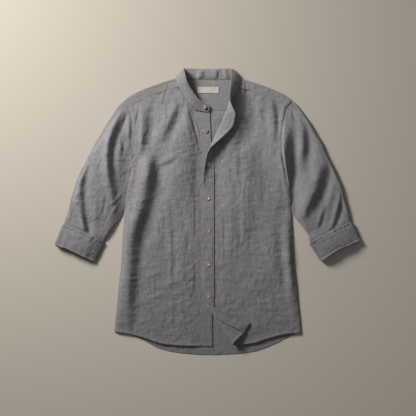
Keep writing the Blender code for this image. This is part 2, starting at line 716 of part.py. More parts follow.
def only_used(points, triangles):
    """Points and triangles without the points that no triangle uses."""
    used = sorted({corner for triangle in triangles for corner in triangle})
    place = {old: new for new, old in enumerate(used)}
    return points[used], [tuple(place[corner] for corner in triangle) for triangle in triangles]


def build_collar(cloth):
    """Collar band: flat behind the neck, folded over at both ends of the neck, and open at the right."""
    table = np.array(COLLAR, float)
    spine = (table[:, :3] + table[:, 3:]) / 2
    knots = np.concatenate([[0.0], np.cumsum(np.linalg.norm(np.diff(spine, axis=0), axis=1) + 4)])
    stations = np.concatenate([np.linspace(a, b, 3)[:-1] for a, b in zip(knots, knots[1:])] + [knots[-1:]])
    sections = smooth_values(knots, table, stations) * MM
    share = np.linspace(0, 1, 5)[None, :, None]
    grid = sections[:, None, :3] * (1 - share) + sections[:, None, 3:] * share
    triangles = triangles_of(grid_faces(*grid.shape[:2]))
    normals = point_normals(grid.reshape(-1, 3), triangles).reshape(grid.shape)
    upright = ease(4 * MM, 16 * MM, sections[:, 5])[:, None, None]
    grid = grid + normals * COLLAR_BOW * upright * 4 * share * (1 - share)
    return add_wall("collar_band", grid.reshape(-1, 3), triangles, BAND_WALL, cloth)


def ring_shares(top_columns, bottom_columns):
    """Where a flattened ring's points stand: arc angle at its two edges, and shares of its width."""
    top = [("outer", 0.0), ("outer", 45.0)]
    top += [("top", share) for share in np.linspace(0, 1, top_columns)]
    top += [("inner", 45.0), ("inner", 0.0), ("inner", -45.0)]
    return top + [("bottom", share) for share in np.linspace(1, 0, bottom_columns)] + [("outer", -45.0)]


def flat_ring(curve, radius, low, level, top_columns=13, bottom_columns=9):
    """Points of a flattened tube's ring. curve(share) is its line in plan, outer edge to inner edge."""
    outer, inner = curve(np.array([0.0, 1.0]))
    lap = radius / np.linalg.norm(inner - outer)
    ring = []
    for kind, value in ring_shares(top_columns, bottom_columns):
        if kind in ("outer", "inner"):
            angle = math.radians(value)
            share = lap * (1 - math.cos(angle))
            share = share if kind == "outer" else 1 - share
            ring.append((*curve(np.array([share]))[0], low + radius * (1 + math.sin(angle))))
        else:
            share = lap + (1 - 2 * lap) * value
            place = curve(np.array([share]))[0]
            ring.append((*place, low if kind == "bottom" else low + 2 * radius + level(place, value)))
    return ring


def armhole_curve(side):
    """Points of the armhole in plan at shares from the shoulder to the underarm, just outside the body."""

    def at(share):
        y = ARMHOLE_TOP_Y + (UNDERARM_Y - ARMHOLE_TOP_Y) * share
        return np.stack([CENTRE_X + side * (side_half(y) + ARMHOLE_GAP), y], axis=1)

    return at


def cuff_corners(side):
    """The cuff's corners in plan: outer and inner at the sleeve, then outer and inner at the hand."""
    row = next(row for row in CUFFS if row[0] == side)
    corners = np.array(row[1:], float).reshape(4, 2) * MM
    corners[:, 0] = CENTRE_X + side * corners[:, 0]
    return corners


def build_sleeve(side, name, folds, cloth):
    """Sleeve: a flattened tube from the armhole into the rolled cuff."""
    armhole = armhole_curve(side)
    ends = armhole(np.array([0.0, 1.0]))
    outer_top, inner_top, outer_low, inner_low = cuff_corners(side)
    tucked = []
    for part in (-0.04, 0.35, 0.75):
        outer = outer_top + (outer_low - outer_top) * part
        inner = inner_top + (inner_low - inner_top) * part
        across = (inner - outer) / np.linalg.norm(inner - outer)
        ends_in_cuff = np.concatenate([outer + across * SLEEVE_TUCK, inner - across * SLEEVE_TUCK])
        ends_in_cuff[[0, 2]] = side * (ends_in_cuff[[0, 2]] - CENTRE_X)
        tucked.append((*ends_in_cuff / MM, 0, SLEEVE_END_RADIUS / MM, SLEEVE_END_PUFF / MM))
    sections = along((*SLEEVE, tucked[0]), np.linspace(0, 1, SLEEVE_RINGS))
    sections = np.concatenate([sections, tucked[1:]])
    rings = []
    for k, (ox, oy, ix, iy, kept, radius, puff) in enumerate(sections):
        outer = np.array([CENTRE_X + side * ox * MM, oy * MM])
        inner = np.array([CENTRE_X + side * ix * MM, iy * MM])
        in_cuff = float(ease(0.8, 1.0, k / (SLEEVE_RINGS - 1)))
        low = BACK_LEVEL + in_cuff * (CUFF_WALL + SEAM)
        flat_top = low + 2 * radius * MM
        at_armhole = 1.0 - float(ease(0.0, 3.0, k))

        def curve(share, outer=outer, inner=inner, kept=kept):
            bend = armhole(share) - (ends[0] * (1 - share[:, None]) + ends[1] * share[:, None])
            return outer * (1 - share[:, None]) + inner * share[:, None] + kept * bend

        def level(place, share, puff=puff, flat_top=flat_top, at_armhole=at_armhole, in_cuff=in_cuff):
            calm = (1.0 - at_armhole) * (1.0 - 0.95 * in_cuff) * math.sin(math.pi * share) ** 0.5
            relief = calm * fold_relief(place[:1], place[1:], folds)[0]
            height = flat_top + puff * MM * math.sin(math.pi * share) + relief
            height = float(softly_above(height, 2 * PANEL_WALL + SEAM))
            y = ARMHOLE_TOP_Y + (UNDERARM_Y - ARMHOLE_TOP_Y) * share
            seam = armhole_level(np.array([y]), side)[0]
            return height + (seam - height) * at_armhole - flat_top

        rings.append(flat_ring(curve, radius * MM, low, level))
    points = np.array(rings)
    faces = triangles_of(grid_faces(*points.shape[:2], closed=True))
    return add_wall(name, points.reshape(-1, 3), faces, PANEL_WALL, cloth)


def build_cuff(side, name, cloth):
    """Rolled cuff: a thick flattened band round the end of the sleeve, its upper layer short at the hand."""
    outer_top, inner_top, outer_low, inner_low = cuff_corners(side)
    down = outer_low - outer_top + inner_low - inner_top
    down /= np.linalg.norm(down)
    rings = []
    for t in np.linspace(0, 1, 5):
        outer = outer_top * (1 - t) + outer_low * t
        inner = inner_top * (1 - t) + inner_low * t
        bulge = math.sin(math.pi * (0.25 + 0.6 * t))

        def curve(share, outer=outer, inner=inner, t=t):
            bow = down * CUFF_BOW * (1 - t) * np.sin(math.pi * share[:, None])
            return outer * (1 - share[:, None]) + inner * share[:, None] - bow

        def level(place, share, bulge=bulge):
            return CUFF_PUFF * math.sin(math.pi * share) * bulge

        ring = np.array(flat_ring(curve, CUFF_RADIUS, CUFF_WALL / 2, level))
        width = np.linalg.norm(inner - outer)
        share = np.linalg.norm(ring[:, :2] - outer, axis=1) / width
        above = ease(0.5, 1.0, ring[:, 2] / (2 * CUFF_RADIUS))
        short = CUFF_MOUTH * t * t * above * np.sin(math.pi * np.clip(share, 0, 1))
        ring[:, :2] -= down * short[:, None]
        rings.append(ring)
    points = np.array(rings)
    faces = triangles_of(grid_faces(*points.shape[:2], closed=True))
    return add_wall(name, points.reshape(-1, 3), faces, CUFF_WALL, cloth)


def build_buttons(shell):
    """Seven turned buttons, the collar's first."""
    profile = np.array(BUTTON_PROFILE) * MM
    angles = np.linspace(0, 2 * math.pi, BUTTON_SIDES, endpoint=False)
    turn = np.stack([np.cos(angles), np.sin(angles), np.zeros(BUTTON_SIDES)], axis=1)
    for number, (x, y, z, lean) in enumerate(BUTTONS, start=1):
        c, s = math.cos(math.radians(lean)), math.sin(math.radians(lean))
        leant = np.array([[c, 0, -s], [0, 1, 0], [s, 0, c]])
        points = [np.array([0, 0, profile[0, 1]]), np.array([0, 0, profile[-1, 1]])]
        for radius, height in profile[1:-1]:
            points += list(turn * radius + (0, 0, height))
        points = np.array(points) @ leant + np.array([x, y, z]) * MM
        faces = []
        last = 2 + (len(profile) - 3) * BUTTON_SIDES
        for j in range(BUTTON_SIDES):
            k = (j + 1) % BUTTON_SIDES
            faces += [(0, 2 + k, 2 + j), (1, last + j, last + k)]
            for a in range(2, last, BUTTON_SIDES):
                faces.append((a + j, a + k, a + BUTTON_SIDES + k, a + BUTTON_SIDES + j))
        add_solid(f"button_{number}", points, faces, shell)


def build_label(tape):
    """Plain label on the inside of the yoke, made from the yoke's surface moved up."""
    x = np.linspace(*LABEL_X, 4)
    y = np.linspace(*LABEL_Y, 2)
    plan = np.stack(np.meshgrid(x, y), axis=-1)
    level = BACK_LEVEL + PANEL_WALL / 2 + SEAM + LABEL_WALL / 2
    points = raised(plan, np.full(plan.shape[:2], level)).reshape(-1, 3)
    return add_wall("label", points, triangles_of(grid_faces(2, 4)), LABEL_WALL, tape)


def build_shirt():
    """Builds every piece."""
    clear_scene()
    cloth = finish("grey_linen", (0.165, 0.162, 0.165), 0.9)
    shell = finish("shell_button", (0.62, 0.55, 0.46), 0.35)
    tape = finish("cream_tape", (0.66, 0.63, 0.55), 0.8)
    build_back(cloth)
    build_yoke(cloth)
    build_left_front(cloth)
    build_right_front(cloth)
    build_button_placket(cloth)
    build_buttonhole_placket(cloth)
    build_collar(cloth)
    build_sleeve(-1, "sleeve_left", LEFT_SLEEVE_FOLDS, cloth)
    build_sleeve(1, "sleeve_right", RIGHT_SLEEVE_FOLDS, cloth)
    build_cuff(-1, "cuff_left", cloth)
    build_cuff(1, "cuff_right", cloth)
    build_buttons(shell)
    build_label(tape)


build_shirt()
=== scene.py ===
"""Mandarin collar shirt of grey linen, laid on its back on a pale floor: cloth, sewing, buttons and studio.

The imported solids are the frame. Each cut piece of cloth is made again as a thin shell on the form of its
solid, with its creases, hems and stitches, and each button as a turned disc with four holes. Lengths are
in metres, except in the tables, which are in millimetres and have their columns named above them.
"""

from __future__ import annotations

import json
import logging
import math
from collections.abc import Callable
from dataclasses import dataclass
from enum import Enum

import bmesh
import bpy
import numpy as np
from mathutils import Matrix, Vector

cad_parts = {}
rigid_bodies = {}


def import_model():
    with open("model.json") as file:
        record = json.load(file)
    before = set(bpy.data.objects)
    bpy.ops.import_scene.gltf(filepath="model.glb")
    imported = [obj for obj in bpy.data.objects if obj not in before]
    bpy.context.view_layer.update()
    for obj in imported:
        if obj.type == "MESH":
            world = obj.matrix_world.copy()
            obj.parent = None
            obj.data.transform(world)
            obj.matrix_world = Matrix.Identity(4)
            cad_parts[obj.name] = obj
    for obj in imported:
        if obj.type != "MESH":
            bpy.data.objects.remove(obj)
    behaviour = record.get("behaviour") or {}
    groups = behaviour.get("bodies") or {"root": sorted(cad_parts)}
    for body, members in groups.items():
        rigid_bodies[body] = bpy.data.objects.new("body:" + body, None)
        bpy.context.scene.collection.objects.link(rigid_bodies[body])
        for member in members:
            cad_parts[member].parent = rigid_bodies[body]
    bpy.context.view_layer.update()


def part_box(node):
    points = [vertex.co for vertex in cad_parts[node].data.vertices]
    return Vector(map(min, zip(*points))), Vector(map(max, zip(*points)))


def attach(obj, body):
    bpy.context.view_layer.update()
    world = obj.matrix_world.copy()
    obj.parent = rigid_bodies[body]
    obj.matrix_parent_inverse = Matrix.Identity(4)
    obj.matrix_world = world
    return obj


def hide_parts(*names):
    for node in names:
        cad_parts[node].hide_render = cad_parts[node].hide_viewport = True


LOG = logging.getLogger("shirt")
Array = np.ndarray
Line = tuple[Array, Array]
Hole = tuple[Array, Array, Array]
Pair = tuple[float, float]
Color = tuple[float, float, float]
Place = tuple[float, float, float]
Socket = bpy.types.NodeSocket
Material = bpy.types.Material
Object = bpy.types.Object
MM = 0.001
BODY = "root"

# ---- Tables of the cut, in millimetres ----
# +X is to the right as the shirt lies, +Y from the hem to the collar, +Z up from the floor

CENTRE_X = 1.5 * MM
UNDERARM_Y = 5.0 * MM
ARMHOLE_TOP_Y = 303.0 * MM
YOKE_SEAM_Y = 276.0 * MM
SEAM_GAP = 0.3 * MM
# how far the rise of the neck's edges reaches into the fronts
RISE_REACH = 24.0 * MM
# makes the drop from a fold's highest line to its lowest one equal to its fall
FALL_SCALE = 1.166
# the tables that noise reads: their points each way, and how far their values spread
NOISE_SIZE = 128
NOISE_SPREAD = 0.75

# y, half the width of the body: side seam up to the underarm, then armhole
BODY_SIDE = (
    (-334, 256.5), (-298, 254), (-254, 249), (-210, 245.5), (-144, 238), (-78, 234.5),
    (-12, 230), (5, 229.5), (25, 227.5), (72, 220), (115, 212), (148, 206),
    (190, 202), (215, 203), (250, 208), (277, 214.5), (290, 220), (303, 233),
)

# y, height of the cloth along the armhole at the left and at the right
ARMHOLE_LEVEL = (
    (5, 2.1, 2.1), (40, 5.5, 8), (90, 7.5, 13), (150, 7, 15),
    (205, 7, 13.5), (250, 7, 9), (290, 5.8, 5.8), (303, 5.6, 5.6),
)

# half width, y: the fold of the shoulder from the neck to the armhole
SHOULDER = ((86.5, 366.8), (106, 361.8), (136, 352), (169, 340), (199, 327), (218, 316), (232, 303.5))

# x, y along the hems, left to right
BACK_HEM = (
    (-255, -328), (-222, -334), (-190, -346), (-154, -365), (-130, -377), (-75, -388), (0, -393.4),
    (75, -391), (124, -385), (159, -375), (191, -361), (222, -345), (258, -328),
)
LEFT_HEM = ((-255, -329), (-218, -334), (-183, -343), (-145, -356), (-120, -363), (-75, -367), (-20, -369))
RIGHT_HEM = ((18, -376), (78, -365), (117, -362), (159, -350), (207, -337), (238, -333), (258, -331))

# x, y of each front's neck edge from the shoulder seam to the placket, and its height above the front
LEFT_NECK = ((-81, 340.2, 1.8), (-72, 327, 2.2), (-64, 313, 2.5), (-41, 288, 1.5), (-31, 278, 0))
RIGHT_NECK = ((84.3, 340.2, 4.8), (78, 329, 6), (66, 311, 7), (59, 295, 8), (56, 276, 8.5))

# y, x of the seam between each front and its placket, and of the placket's free edge
LEFT_PLACKET_SEAM = ((-369, -20), (150, -19), (219, -22), (278, -31))
LEFT_PLACKET_EDGE = ((-369, 13), (145, 12), (219, 9), (275, 6))
RIGHT_PLACKET_SEAM = ((-376, 18), (150, 18), (182, 21), (202, 26), (225, 35), (250, 45.5), (276, 56))
FLAT_EDGE = ((-374, -15), (-310, -10), (-262, -4.5), (-243, -2), (-229, -5.5), (-204, -12), (-173, -15))
# x, y along the seam of the open placket, and its height above the rest
LAPEL_RISE = ((18, 150, 0), (21, 182, 1.5), (26, 202, 3), (35, 225, 5), (45.5, 250, 7), (56, 276, 8.5))

# The open placket, from where it lies flat up to the collar: y along its seam, its free edge x, y, z, how
# far in and down from there the cloth starts, and how far left of the seam and above it the cloth ends
LAPEL = (
    (-173, -15, -173, 4.9, 11, 0, 11, 0),
    (-60, -15, -60, 4.9, 11, 0, 11, 0),
    (46, -15, 46, 4.9, 11, 0, 11, 0),
    (87, -10.5, 87, 9, 3, 2, 13, 0),
    (115, -8.5, 114, 13, -1, 4, 15, 0),
    (150, -3, 147, 18, -1.5, 6, 16, 0),
    (170, 1.5, 163, 22, -3, 8, 14, 1),
    (182, 8.5, 174, 25, -4, 8, 13, 2),
    (202, 28, 192, 25, -13, 5, 10, 4),
    (225, 52, 214, 24, -18, 3, 8, 5),
    (250, 71, 238, 23, -16, 1.5, 6, 5),
    (275.5, 76, 262, 24, -14, 1.5, 5, 6),
    (279, 77, 264.2, 24.4, -14, 1.5, 5, 6),
)

# The collar band from the button end round the neck: seam x, y, z, then top edge x, y, z
COLLAR = (
    (4, 275, 5.4, 5, 281, 7),
    (0, 274.5, 5.5, 3, 290, 8),
    (-11, 275.5, 5.8, -6, 298, 9),
    (-27, 279.5, 6.5, -14, 303, 10.5),
    (-40, 289, 7.2, -24, 308.5, 13),
    (-54, 303.5, 8, -35.5, 322.5, 16),
    (-72, 332, 7.8, -49.5, 343.5, 20),
    (-82, 350, 7, -56.5, 359, 24),
    (-84, 359, 6.8, -60.5, 374, 26),
    (-86, 365.6, 5.4, -64, 388, 25),
    (-87.5, 367.8, 3.2, -66.5, 392, 13),
    (-85.5, 365.3, 1.3, -64.5, 393, 3.4),
    (-78, 363.8, 0.9, -60, 393.3, 1.2),
    (-56, 363.5, 0.9, -50, 393, 0.9),
    (-20, 363.5, 0.9, -18, 392, 0.9),
    (20, 363.5, 0.9, 20, 392, 0.9),
    (60, 363.5, 0.9, 52, 393, 0.9),
    (80, 363.8, 0.9, 60, 393.3, 1.2),
    (89, 365.5, 1.4, 66, 393, 3),
    (91.5, 367.5, 3.8, 68.5, 391.5, 10),
    (92, 364.5, 6.6, 66.5, 387, 17),
    (92, 354, 8.2, 65, 367, 26),
    (90, 347.5, 9, 64.5, 356, 30),
    (80.4, 330, 11.4, 61.8, 326.5, 35),
    (65.6, 311.5, 12.8, 61, 305, 36),
    (57.5, 296, 13.6, 66, 290, 34),
    (54.3, 279.5, 14.6, 71, 280, 31),
    (54.5, 275.3, 17.8, 73.5, 275.5, 29.5),
    (59, 271.5, 20.8, 75, 271.5, 28.5),
    (67, 267, 23.3, 75.8, 268.5, 27.0),
    (74.8, 264.3, 24.6, 75.7, 265.8, 25.4),
)

# One sleeve, shoulder to cuff, as half a body away from the centre line
# outer edge x, y, inner edge x, y, share of the armhole's curve kept, edge radius, puff of the top
SLEEVE = (
    (233.5, 303, 230, 5, 1.0, 2.5, 0),
    (247, 290, 231, 2, 0.88, 3.2, 1),
    (263, 266, 233, -3, 0.7, 4.2, 4),
    (286, 230, 236, -10, 0.5, 5, 7),
    (310.5, 186, 241, -18, 0.32, 5, 9),
    (332.5, 142, 247, -26, 0.18, 5, 9),
    (354.5, 98, 255, -35, 0.08, 5, 8),
    (370, 54, 263, -46, 0.02, 5, 6),
    (382, 10, 274, -62, 0, 4.6, 3),
)

# x, y of each cuff's corners, by its side: outer and inner at the sleeve, outer and inner at the hand
CUFFS = {
    -1: (397, -33, 283.5, -84.5, 421.5, -91, 311, -141),
    1: (394, -28, 277.5, -86, 418.5, -80, 309.5, -136),
}

# ---- Folds and creases ----
# Three points x, y of a line, how high the cloth rises along it, how far it falls across it towards the
# line's left hand, and the half width, all in millimetres

LEFT_FRONT_FOLDS = (
    # the hollow from the chest down the side, its branch, and the roll beside it
    (-150, 178, -151, 122, -159, 50, 4.5, 11, 22),
    (-144, 190, -158, 60, -206, -120, 8, 16.5, 29),
    (-166, 90, -201, -110, -214, -400, 7.5, 14, 25),
    (-84, 150, -111, 134, -148, 117, 0, 4.5, 11),
    # chest
    (-157, 314, -165, 220, -174, 118, 0.5, 5.8, 16),
    (-140, 310, -128, 250, -140, 170, 2.5, 0, 20),
    (-66, 300, -50, 226, -34, 176, 2.2, 0, 8),
    # belly
    (-97, 28, -97, -70, -95, -240, 0, 2.4, 8),
    (-120, 60, -128, -20, -150, -120, 2.2, 0, 14),
    (-60, -20, -70, -140, -52, -280, 2.0, 0, 14),
    (-64, 340, -78, 160, -86, -60, 9.5, 0, 48),
)
LEFT_FRONT_CREASES = (
    (-70, 318, -94, 250, -134, 166, 0, 9.5, 18),
    (-58, 304, -40, 236, -7, 112, 0, 2.6, 5),
    (-111, 342, -119, 318, -126, 286, 0, 1.3, 5),
    (-45, 285, -26, 222, -8, 158, 1.2, 0, 4),
    (-188, 302, -194, 262, -206, 222, 0, 2.2, 4),
    (-184, 316, -180, 238, -185, 136, 3.6, 0, 9),
    (-178, 240, -180, 190, -186, 130, 1.8, 0, 6),
    (-138, 300, -132, 262, -136, 225, 1.2, 0.8, 5),
    (-119, 300, -112, 268, -118, 240, 0, 1.2, 5),
    (-70, 170, -100, 132, -118, 92, 0, 1.2, 8),
    (-133, -10, -133, -40, -135, -80, 0, 1.4, 4),
    (-110, 60, -106, -20, -112, -100, 0.8, 0.8, 6),
    (-36, 60, -35, -20, -38, -100, 0, 1.5, 4),
    (-30, -130, -42, -152, -60, -166, 1.1, 0, 4),
    (-26, -160, -44, -186, -70, -206, 0, 1.1, 4),
    (-70, -180, -96, -196, -124, -200, 1.1, 0, 6),
    (-120, -150, -150, -172, -186, -178, 0.9, 0, 6),
    (-24, -214, -40, -246, -62, -268, 1.2, 0, 5),
    (-42, -110, -36, -170, -40, -240, 0, 1.5, 5),
    (-60, -228, -84, -244, -112, -240, -0.9, 0, 5),
    (-130, -226, -152, -238, -180, -236, 1.0, 0, 6),
    (-30, -290, -58, -300, -84, -292, 1.0, 0, 5),
    (-96, -282, -116, -302, -140, -306, -0.8, 0, 5),
    (-18, -320, -30, -338, -52, -346, 0.8, 0, 4),
    (-150, -284, -168, -300, -196, -300, 0.9, 0, 5),
    (-94, -200, -92, -260, -98, -330, 0, 1.2, 6),
)
RIGHT_FRONT_FOLDS = (
    (196, 300, 196, 250, 194, 200, -1.5, 0, 7),
    (212, 20, 224, -140, 238, -310, 7.5, 0, 12),
    (88, 358, 99, 247, 50, 136, 0, 9.5, 18),
    (112, 330, 120, 246, 84, 160, 0, 5.5, 15),
    (120, 180, 108, 40, 118, -110, 2.4, 0, 16),
    (60, 90, 66, -40, 58, -180, 2.0, 0, 13),
    (170, 60, 176, -90, 168, -220, 3.0, 0, 20),
    (84, 260, 84, 90, 92, -90, 6, 0, 52),
)
RIGHT_FRONT_CREASES = (
    (176, 340, 188, 244, 187, 140, 0, 5.8, 11),
    (168, 300, 172, 240, 174, 180, 1.4, 0, 6),
    (102, 366, 102.5, 342, 106, 306, 0, 3.4, 4),
    (118, 318, 116, 290, 120, 262, 0, 1.2, 5),
    (134, 312, 138, 280, 136, 240, 1.1, 0, 6),
    (152, 300, 150, 268, 154, 230, 0, 1.0, 5),
    (88, 210, 84, 130, 92, 60, 0, 1.4, 8),
    (104, 100, 100, 40, 98, -10, 0, 1.2, 4),
    (104, 40, 102, -20, 104, -110, 0.9, 0.9, 6),
    (115, -2, 115, -40, 114, -84, 0, 1.0, 2.6),
    (146, 130, 150, 60, 146, -20, 0, 1.4, 9),
    (204, 180, 208, 120, 206, 60, 1.8, 0, 6),
    (196, 120, 200, 60, 204, 0, 0, 1.4, 7),
    (126, -30, 118, -90, 122, -150, -1.1, 0, 7),
    (84, -60, 78, -110, 82, -170, 1.1, 0, 6),
    (44, 20, 42, -50, 46, -130, 0, 1.1, 5),
    (40, -70, 58, -90, 84, -98, 0.8, 0, 5),
    (66, -150, 92, -168, 122, -172, 0.9, 0, 6),
    (110, -196, 138, -214, 168, -210, 1.0, 0, 6),
    (90, -240, 112, -262, 138, -262, -0.9, 0, 5),
    (150, -250, 176, -268, 206, -262, 0.9, 0, 6),
    (196, -40, 204, -140, 212, -250, -1.6, 0, 8),
    (100, -300, 124, -318, 150, -312, 0.8, 0, 5),
    (170, -296, 190, -310, 214, -306, -0.7, 0, 5),
    (22, -40, 34, -56, 48, -62, 0.9, 0, 4),
    (24, 60, 36, 40, 54, 32, -0.8, 0, 4),
    (26, -190, 40, -214, 62, -226, 1.0, 0, 5),
)
LEFT_SLEEVE_FOLDS = (
    (-208, 316, -268, 160, -246, -22, 5, 14, 14),
    (-312, 190, -344, 52, -322, -96, 2, 9, 13),
    (-346, 14, -333, -40, -316, -134, 0, 8, 8),
    (-242, 210, -233, 180, -238, 144, 0, 3, 6),
    (-300, 220, -306, 150, -312, 60, 2.5, 0, 14),
    (-300, 40, -306, 0, -303, -48, 3, 0, 9),
    (-214, 276, -226, 262, -236, 226, 0, 2.6, 4),
    (-212, 300, -211, 238, -214, 150, 1, 4.5, 8),
    (-240, 40, -256, 22, -274, 12, 0, 1.5, 4.5),
    (-244, 20, -258, 2, -276, -10, 1.0, 0, 4),
    (-236, 56, -244, 38, -256, 28, 0.9, 0, 4),
    (-356, 64, -360, 30, -356, -6, 1.6, 0, 5),
    (-276, 60, -284, 20, -290, -20, 0, 1.8, 6),
    (-318, -10, -320, -40, -312, -66, -1.4, 0, 5),
    (-366, 16, -374, -10, -384, -30, 0, 1.6, 4),
    (-372, -8, -380, -22, -390, -30, 1.4, 0, 4),
    (-270, 252, -284, 200, -292, 130, 0, 1.6, 8),
)
RIGHT_SLEEVE_FOLDS = (
    (243, 272, 218, 142, 221, -110, 6, 25, 25),
    (262, 266, 268, 186, 260, 100, 2, 12.5, 17),
    (341, 186, 307, 66, 236, -66, 2, 12.5, 21),
    (298, 190, 296, 120, 262, 40, 3, 0, 14),
    (374, 76, 358, -2, 330, -84, 1, 7, 10),
    (228, 284, 233, 262, 238, 240, 0, 2.6, 4),
    (244, 280, 252, 258, 258, 230, 1.8, 0, 5),
    (300, 236, 306, 200, 310, 150, 0, 2.0, 7),
    (326, 150, 332, 128, 336, 104, 0, 1.8, 5),
    (258, 10, 276, -14, 296, -34, 1.6, 0, 4),
    (250, 0, 266, -24, 284, -46, 0, 1.6, 4),
    (322, 20, 314, -14, 300, -60, 0, 3.0, 7),
    (346, 90, 336, 40, 322, -6, 2.0, 0, 8),
)
# Folds of the yoke where it wraps over the shoulders
YOKE_FOLDS = (
    (-105, 362, -111, 342, -118, 316, 0, 1.3, 4.5),
    (102, 374, 103, 352, 104, 328, 0, 2.6, 3.6),
)
BACK_FOLDS = (
    (-150, -340, -140, -358, -132, -372, 1.0, 0, 6),
    (-60, -366, -52, -378, -46, -388, 0.8, 0, 6),
    (30, -376, 38, -384, 44, -391, 0.8, 0, 6),
    (120, -366, 128, -376, 132, -384, 0.9, 0, 6),
    (40, 250, 36, 225, 38, 190, 0, 1.0, 6),
    (14, 262, 22, 240, 20, 205, 0, 0.8, 6),
)

# Soft unevenness of washed linen: distance between bumps across and along, height, seed
CRUMPLE = ((46, 90, 0.7, 11), (17, 42, 0.42, 23), (7, 18, 0.3, 37), (20, 8, 0.42, 61))
# The same for creases with a crest, which are raised where the noise crosses zero, and their sharpness
PINCHED = ((26, 40, 0.42, 41), (11, 22, 0.4, 53), (13, 9, 0.32, 89))
PINCH = 0.16
# The same for the slow bend that both of them follow
BEND = (38, 60, 14, 71)


# ---- Curves and reliefs ----


def ease(start: float, end: float, value: Array) -> Array:
    """0 before start, 1 after end, and a smooth step between them."""
    t = np.clip((value - start) / (end - start), 0.0, 1.0)
    return t * t * (3.0 - 2.0 * t)


def smooth(knots: Array, rows: Array, t: Array) -> Array:
    """Reads a cubic curve that passes through rows and never overshoots them.

    Args:
        knots: Rising place of each row.
        rows: One row of values for each knot.
        t: Places to read, of any shape, kept within the knots.

    Returns:
        The values, with the shape of t and one more axis for the columns.
    """
    steps = np.diff(rows, axis=0) / np.diff(knots)[:, None]
    before, after = steps[:-1], steps[1:]
    both = np.where(before + after == 0, 1, before + after)
    inner = np.where(before * after > 0, 2 * before * after / both, 0)
    slopes = np.concatenate([steps[:1], inner, steps[-1:]])
    flat = np.clip(np.ravel(np.asarray(t, float)), knots[0], knots[-1])
    k = np.clip(np.searchsorted(knots, flat, side="right") - 1, 0, len(knots) - 2)
    span = (knots[k + 1] - knots[k])[:, None]
    s = (flat - knots[k])[:, None] / span
    start = (1 + 2 * s) * (1 - s) ** 2 * rows[k] + s * (1 - s) ** 2 * span * slopes[k]
    end = s * s * (3 - 2 * s) * rows[k + 1] + s * s * (s - 1) * span * slopes[k + 1]
    return (start + end).reshape(*np.shape(t), rows.shape[1])


def joined(*columns: Array) -> Array:
    """Coordinates side by side in one last axis."""
    return np.stack(np.broadcast_arrays(*columns), axis=-1)


def unit(vectors: Array) -> Array:
    """The vectors at length 1, or 0 where they have none."""
    return vectors / np.maximum(np.linalg.norm(vectors, axis=-1, keepdims=True), 1e-15)


def travelled(points: Array, axis: int = 0) -> Array:
    """Length of the way along an axis of points, from the first up to each."""
    steps = np.diff(points, axis=axis, prepend=np.take(points, [0], axis=axis))
    return np.cumsum(np.linalg.norm(steps, axis=-1), axis=axis)


def along(rows: tuple | Array, t: Array) -> Array:
    """Reads a smooth curve through the rows of a table.

    Args:
        rows: The table, one point in each row.
        t: Places on the curve, 0 to 1 by length.

    Returns:
        The values at these places.
    """
    table = np.array(rows, float)
    place = travelled(table)
    return smooth(place / place[-1], table, t)


def by_first(rows: tuple, value: Array) -> Array:
    """The other columns, in metres, at this value of a table's first column, which rises."""
    table = np.array(rows, float) * MM
    return smooth(table[:, 0], table[:, 1:], value)


def nearest(x: Array, y: Array, line: Array) -> tuple[Array, Array, Array]:
    """Finds the nearest place on a line in plan.

    Args:
        x, y: Places to measure from.
        line: Points of the line.

    Returns:
        The distance, how far along the line the nearest place is, 0 to 1, and 1 right of the line or -1 left.
    """
    distance = np.full(x.shape, np.inf)
    place = np.zeros(x.shape)
    hand = np.ones(x.shape)
    for k, (start, end) in enumerate(zip(line, line[1:])):
        run = end - start
        dx, dy = x - start[0], y - start[1]
        t = np.clip((dx * run[0] + dy * run[1]) / run.dot(run), 0.0, 1.0)
        away = np.hypot(dx - t * run[0], dy - t * run[1])
        nearer = away < distance
        distance[nearer] = away[nearer]
        place[nearer] = ((k + t) / (len(line) - 1))[nearer]
        hand[nearer] = np.sign(dx * run[1] - dy * run[0])[nearer]
    return distance, place, hand


def relief(x: Array, y: Array, folds: tuple) -> Array:
    """Reads the height of a table of folds.

    Args:
        x, y: Places in plan.
        folds: The table, one fold in each row.

    Returns:
        The height, in metres, that the folds add at each place.
    """
    total = np.zeros(x.shape)
    for x0, y0, x1, y1, x2, y2, rise, fall, width in folds:
        crest = along(((x0, y0), (x1, y1), (x2, y2)), np.linspace(0, 1, 9)) * MM
        reach = 3 * width * MM
        low, high = crest.min(axis=0) - reach, crest.max(axis=0) + reach
        near = (x > low[0]) & (x < high[0]) & (y > low[1]) & (y < high[1])
        distance, place, hand = nearest(x[near], y[near], crest)
        fade = ease(0.0, 0.4, place) * (1.0 - ease(0.55, 1.0, place))
        t = hand * distance / (width * MM)
        total[near] += (rise + FALL_SCALE * fall * t) * MM * fade * np.exp(-t * t)
    return total


def noise(x: Array, y: Array, pitch_x: float, pitch_y: float, seed: int) -> Array:
    """Smooth unevenness.

    Args:
        x, y: Places to read.
        pitch_x, pitch_y: Distance between its bumps along x and along y.
        seed: Which unevenness, the same each time for the same number.

    Returns:
        Values mostly from -1 to 1.
    """
    table = np.random.default_rng(seed).standard_normal((NOISE_SIZE, NOISE_SIZE)) * NOISE_SPREAD
    cells, shares = [], []
    for place in (x / pitch_x, y / pitch_y):
        cell = np.floor(place).astype(int)
        t = place - cell
        cells.append(cell)
        shares.append(t * t * t * (t * (6 * t - 15) + 10))
    (ix, iy), (fx, fy) = cells, shares
    corner = [table[(ix + a) % NOISE_SIZE, (iy + b) % NOISE_SIZE] for a in (0, 1) for b in (0, 1)]
    low = corner[0] * (1 - fy) + corner[1] * fy
    high = corner[2] * (1 - fy) + corner[3] * fy
    return low * (1 - fx) + high * fx


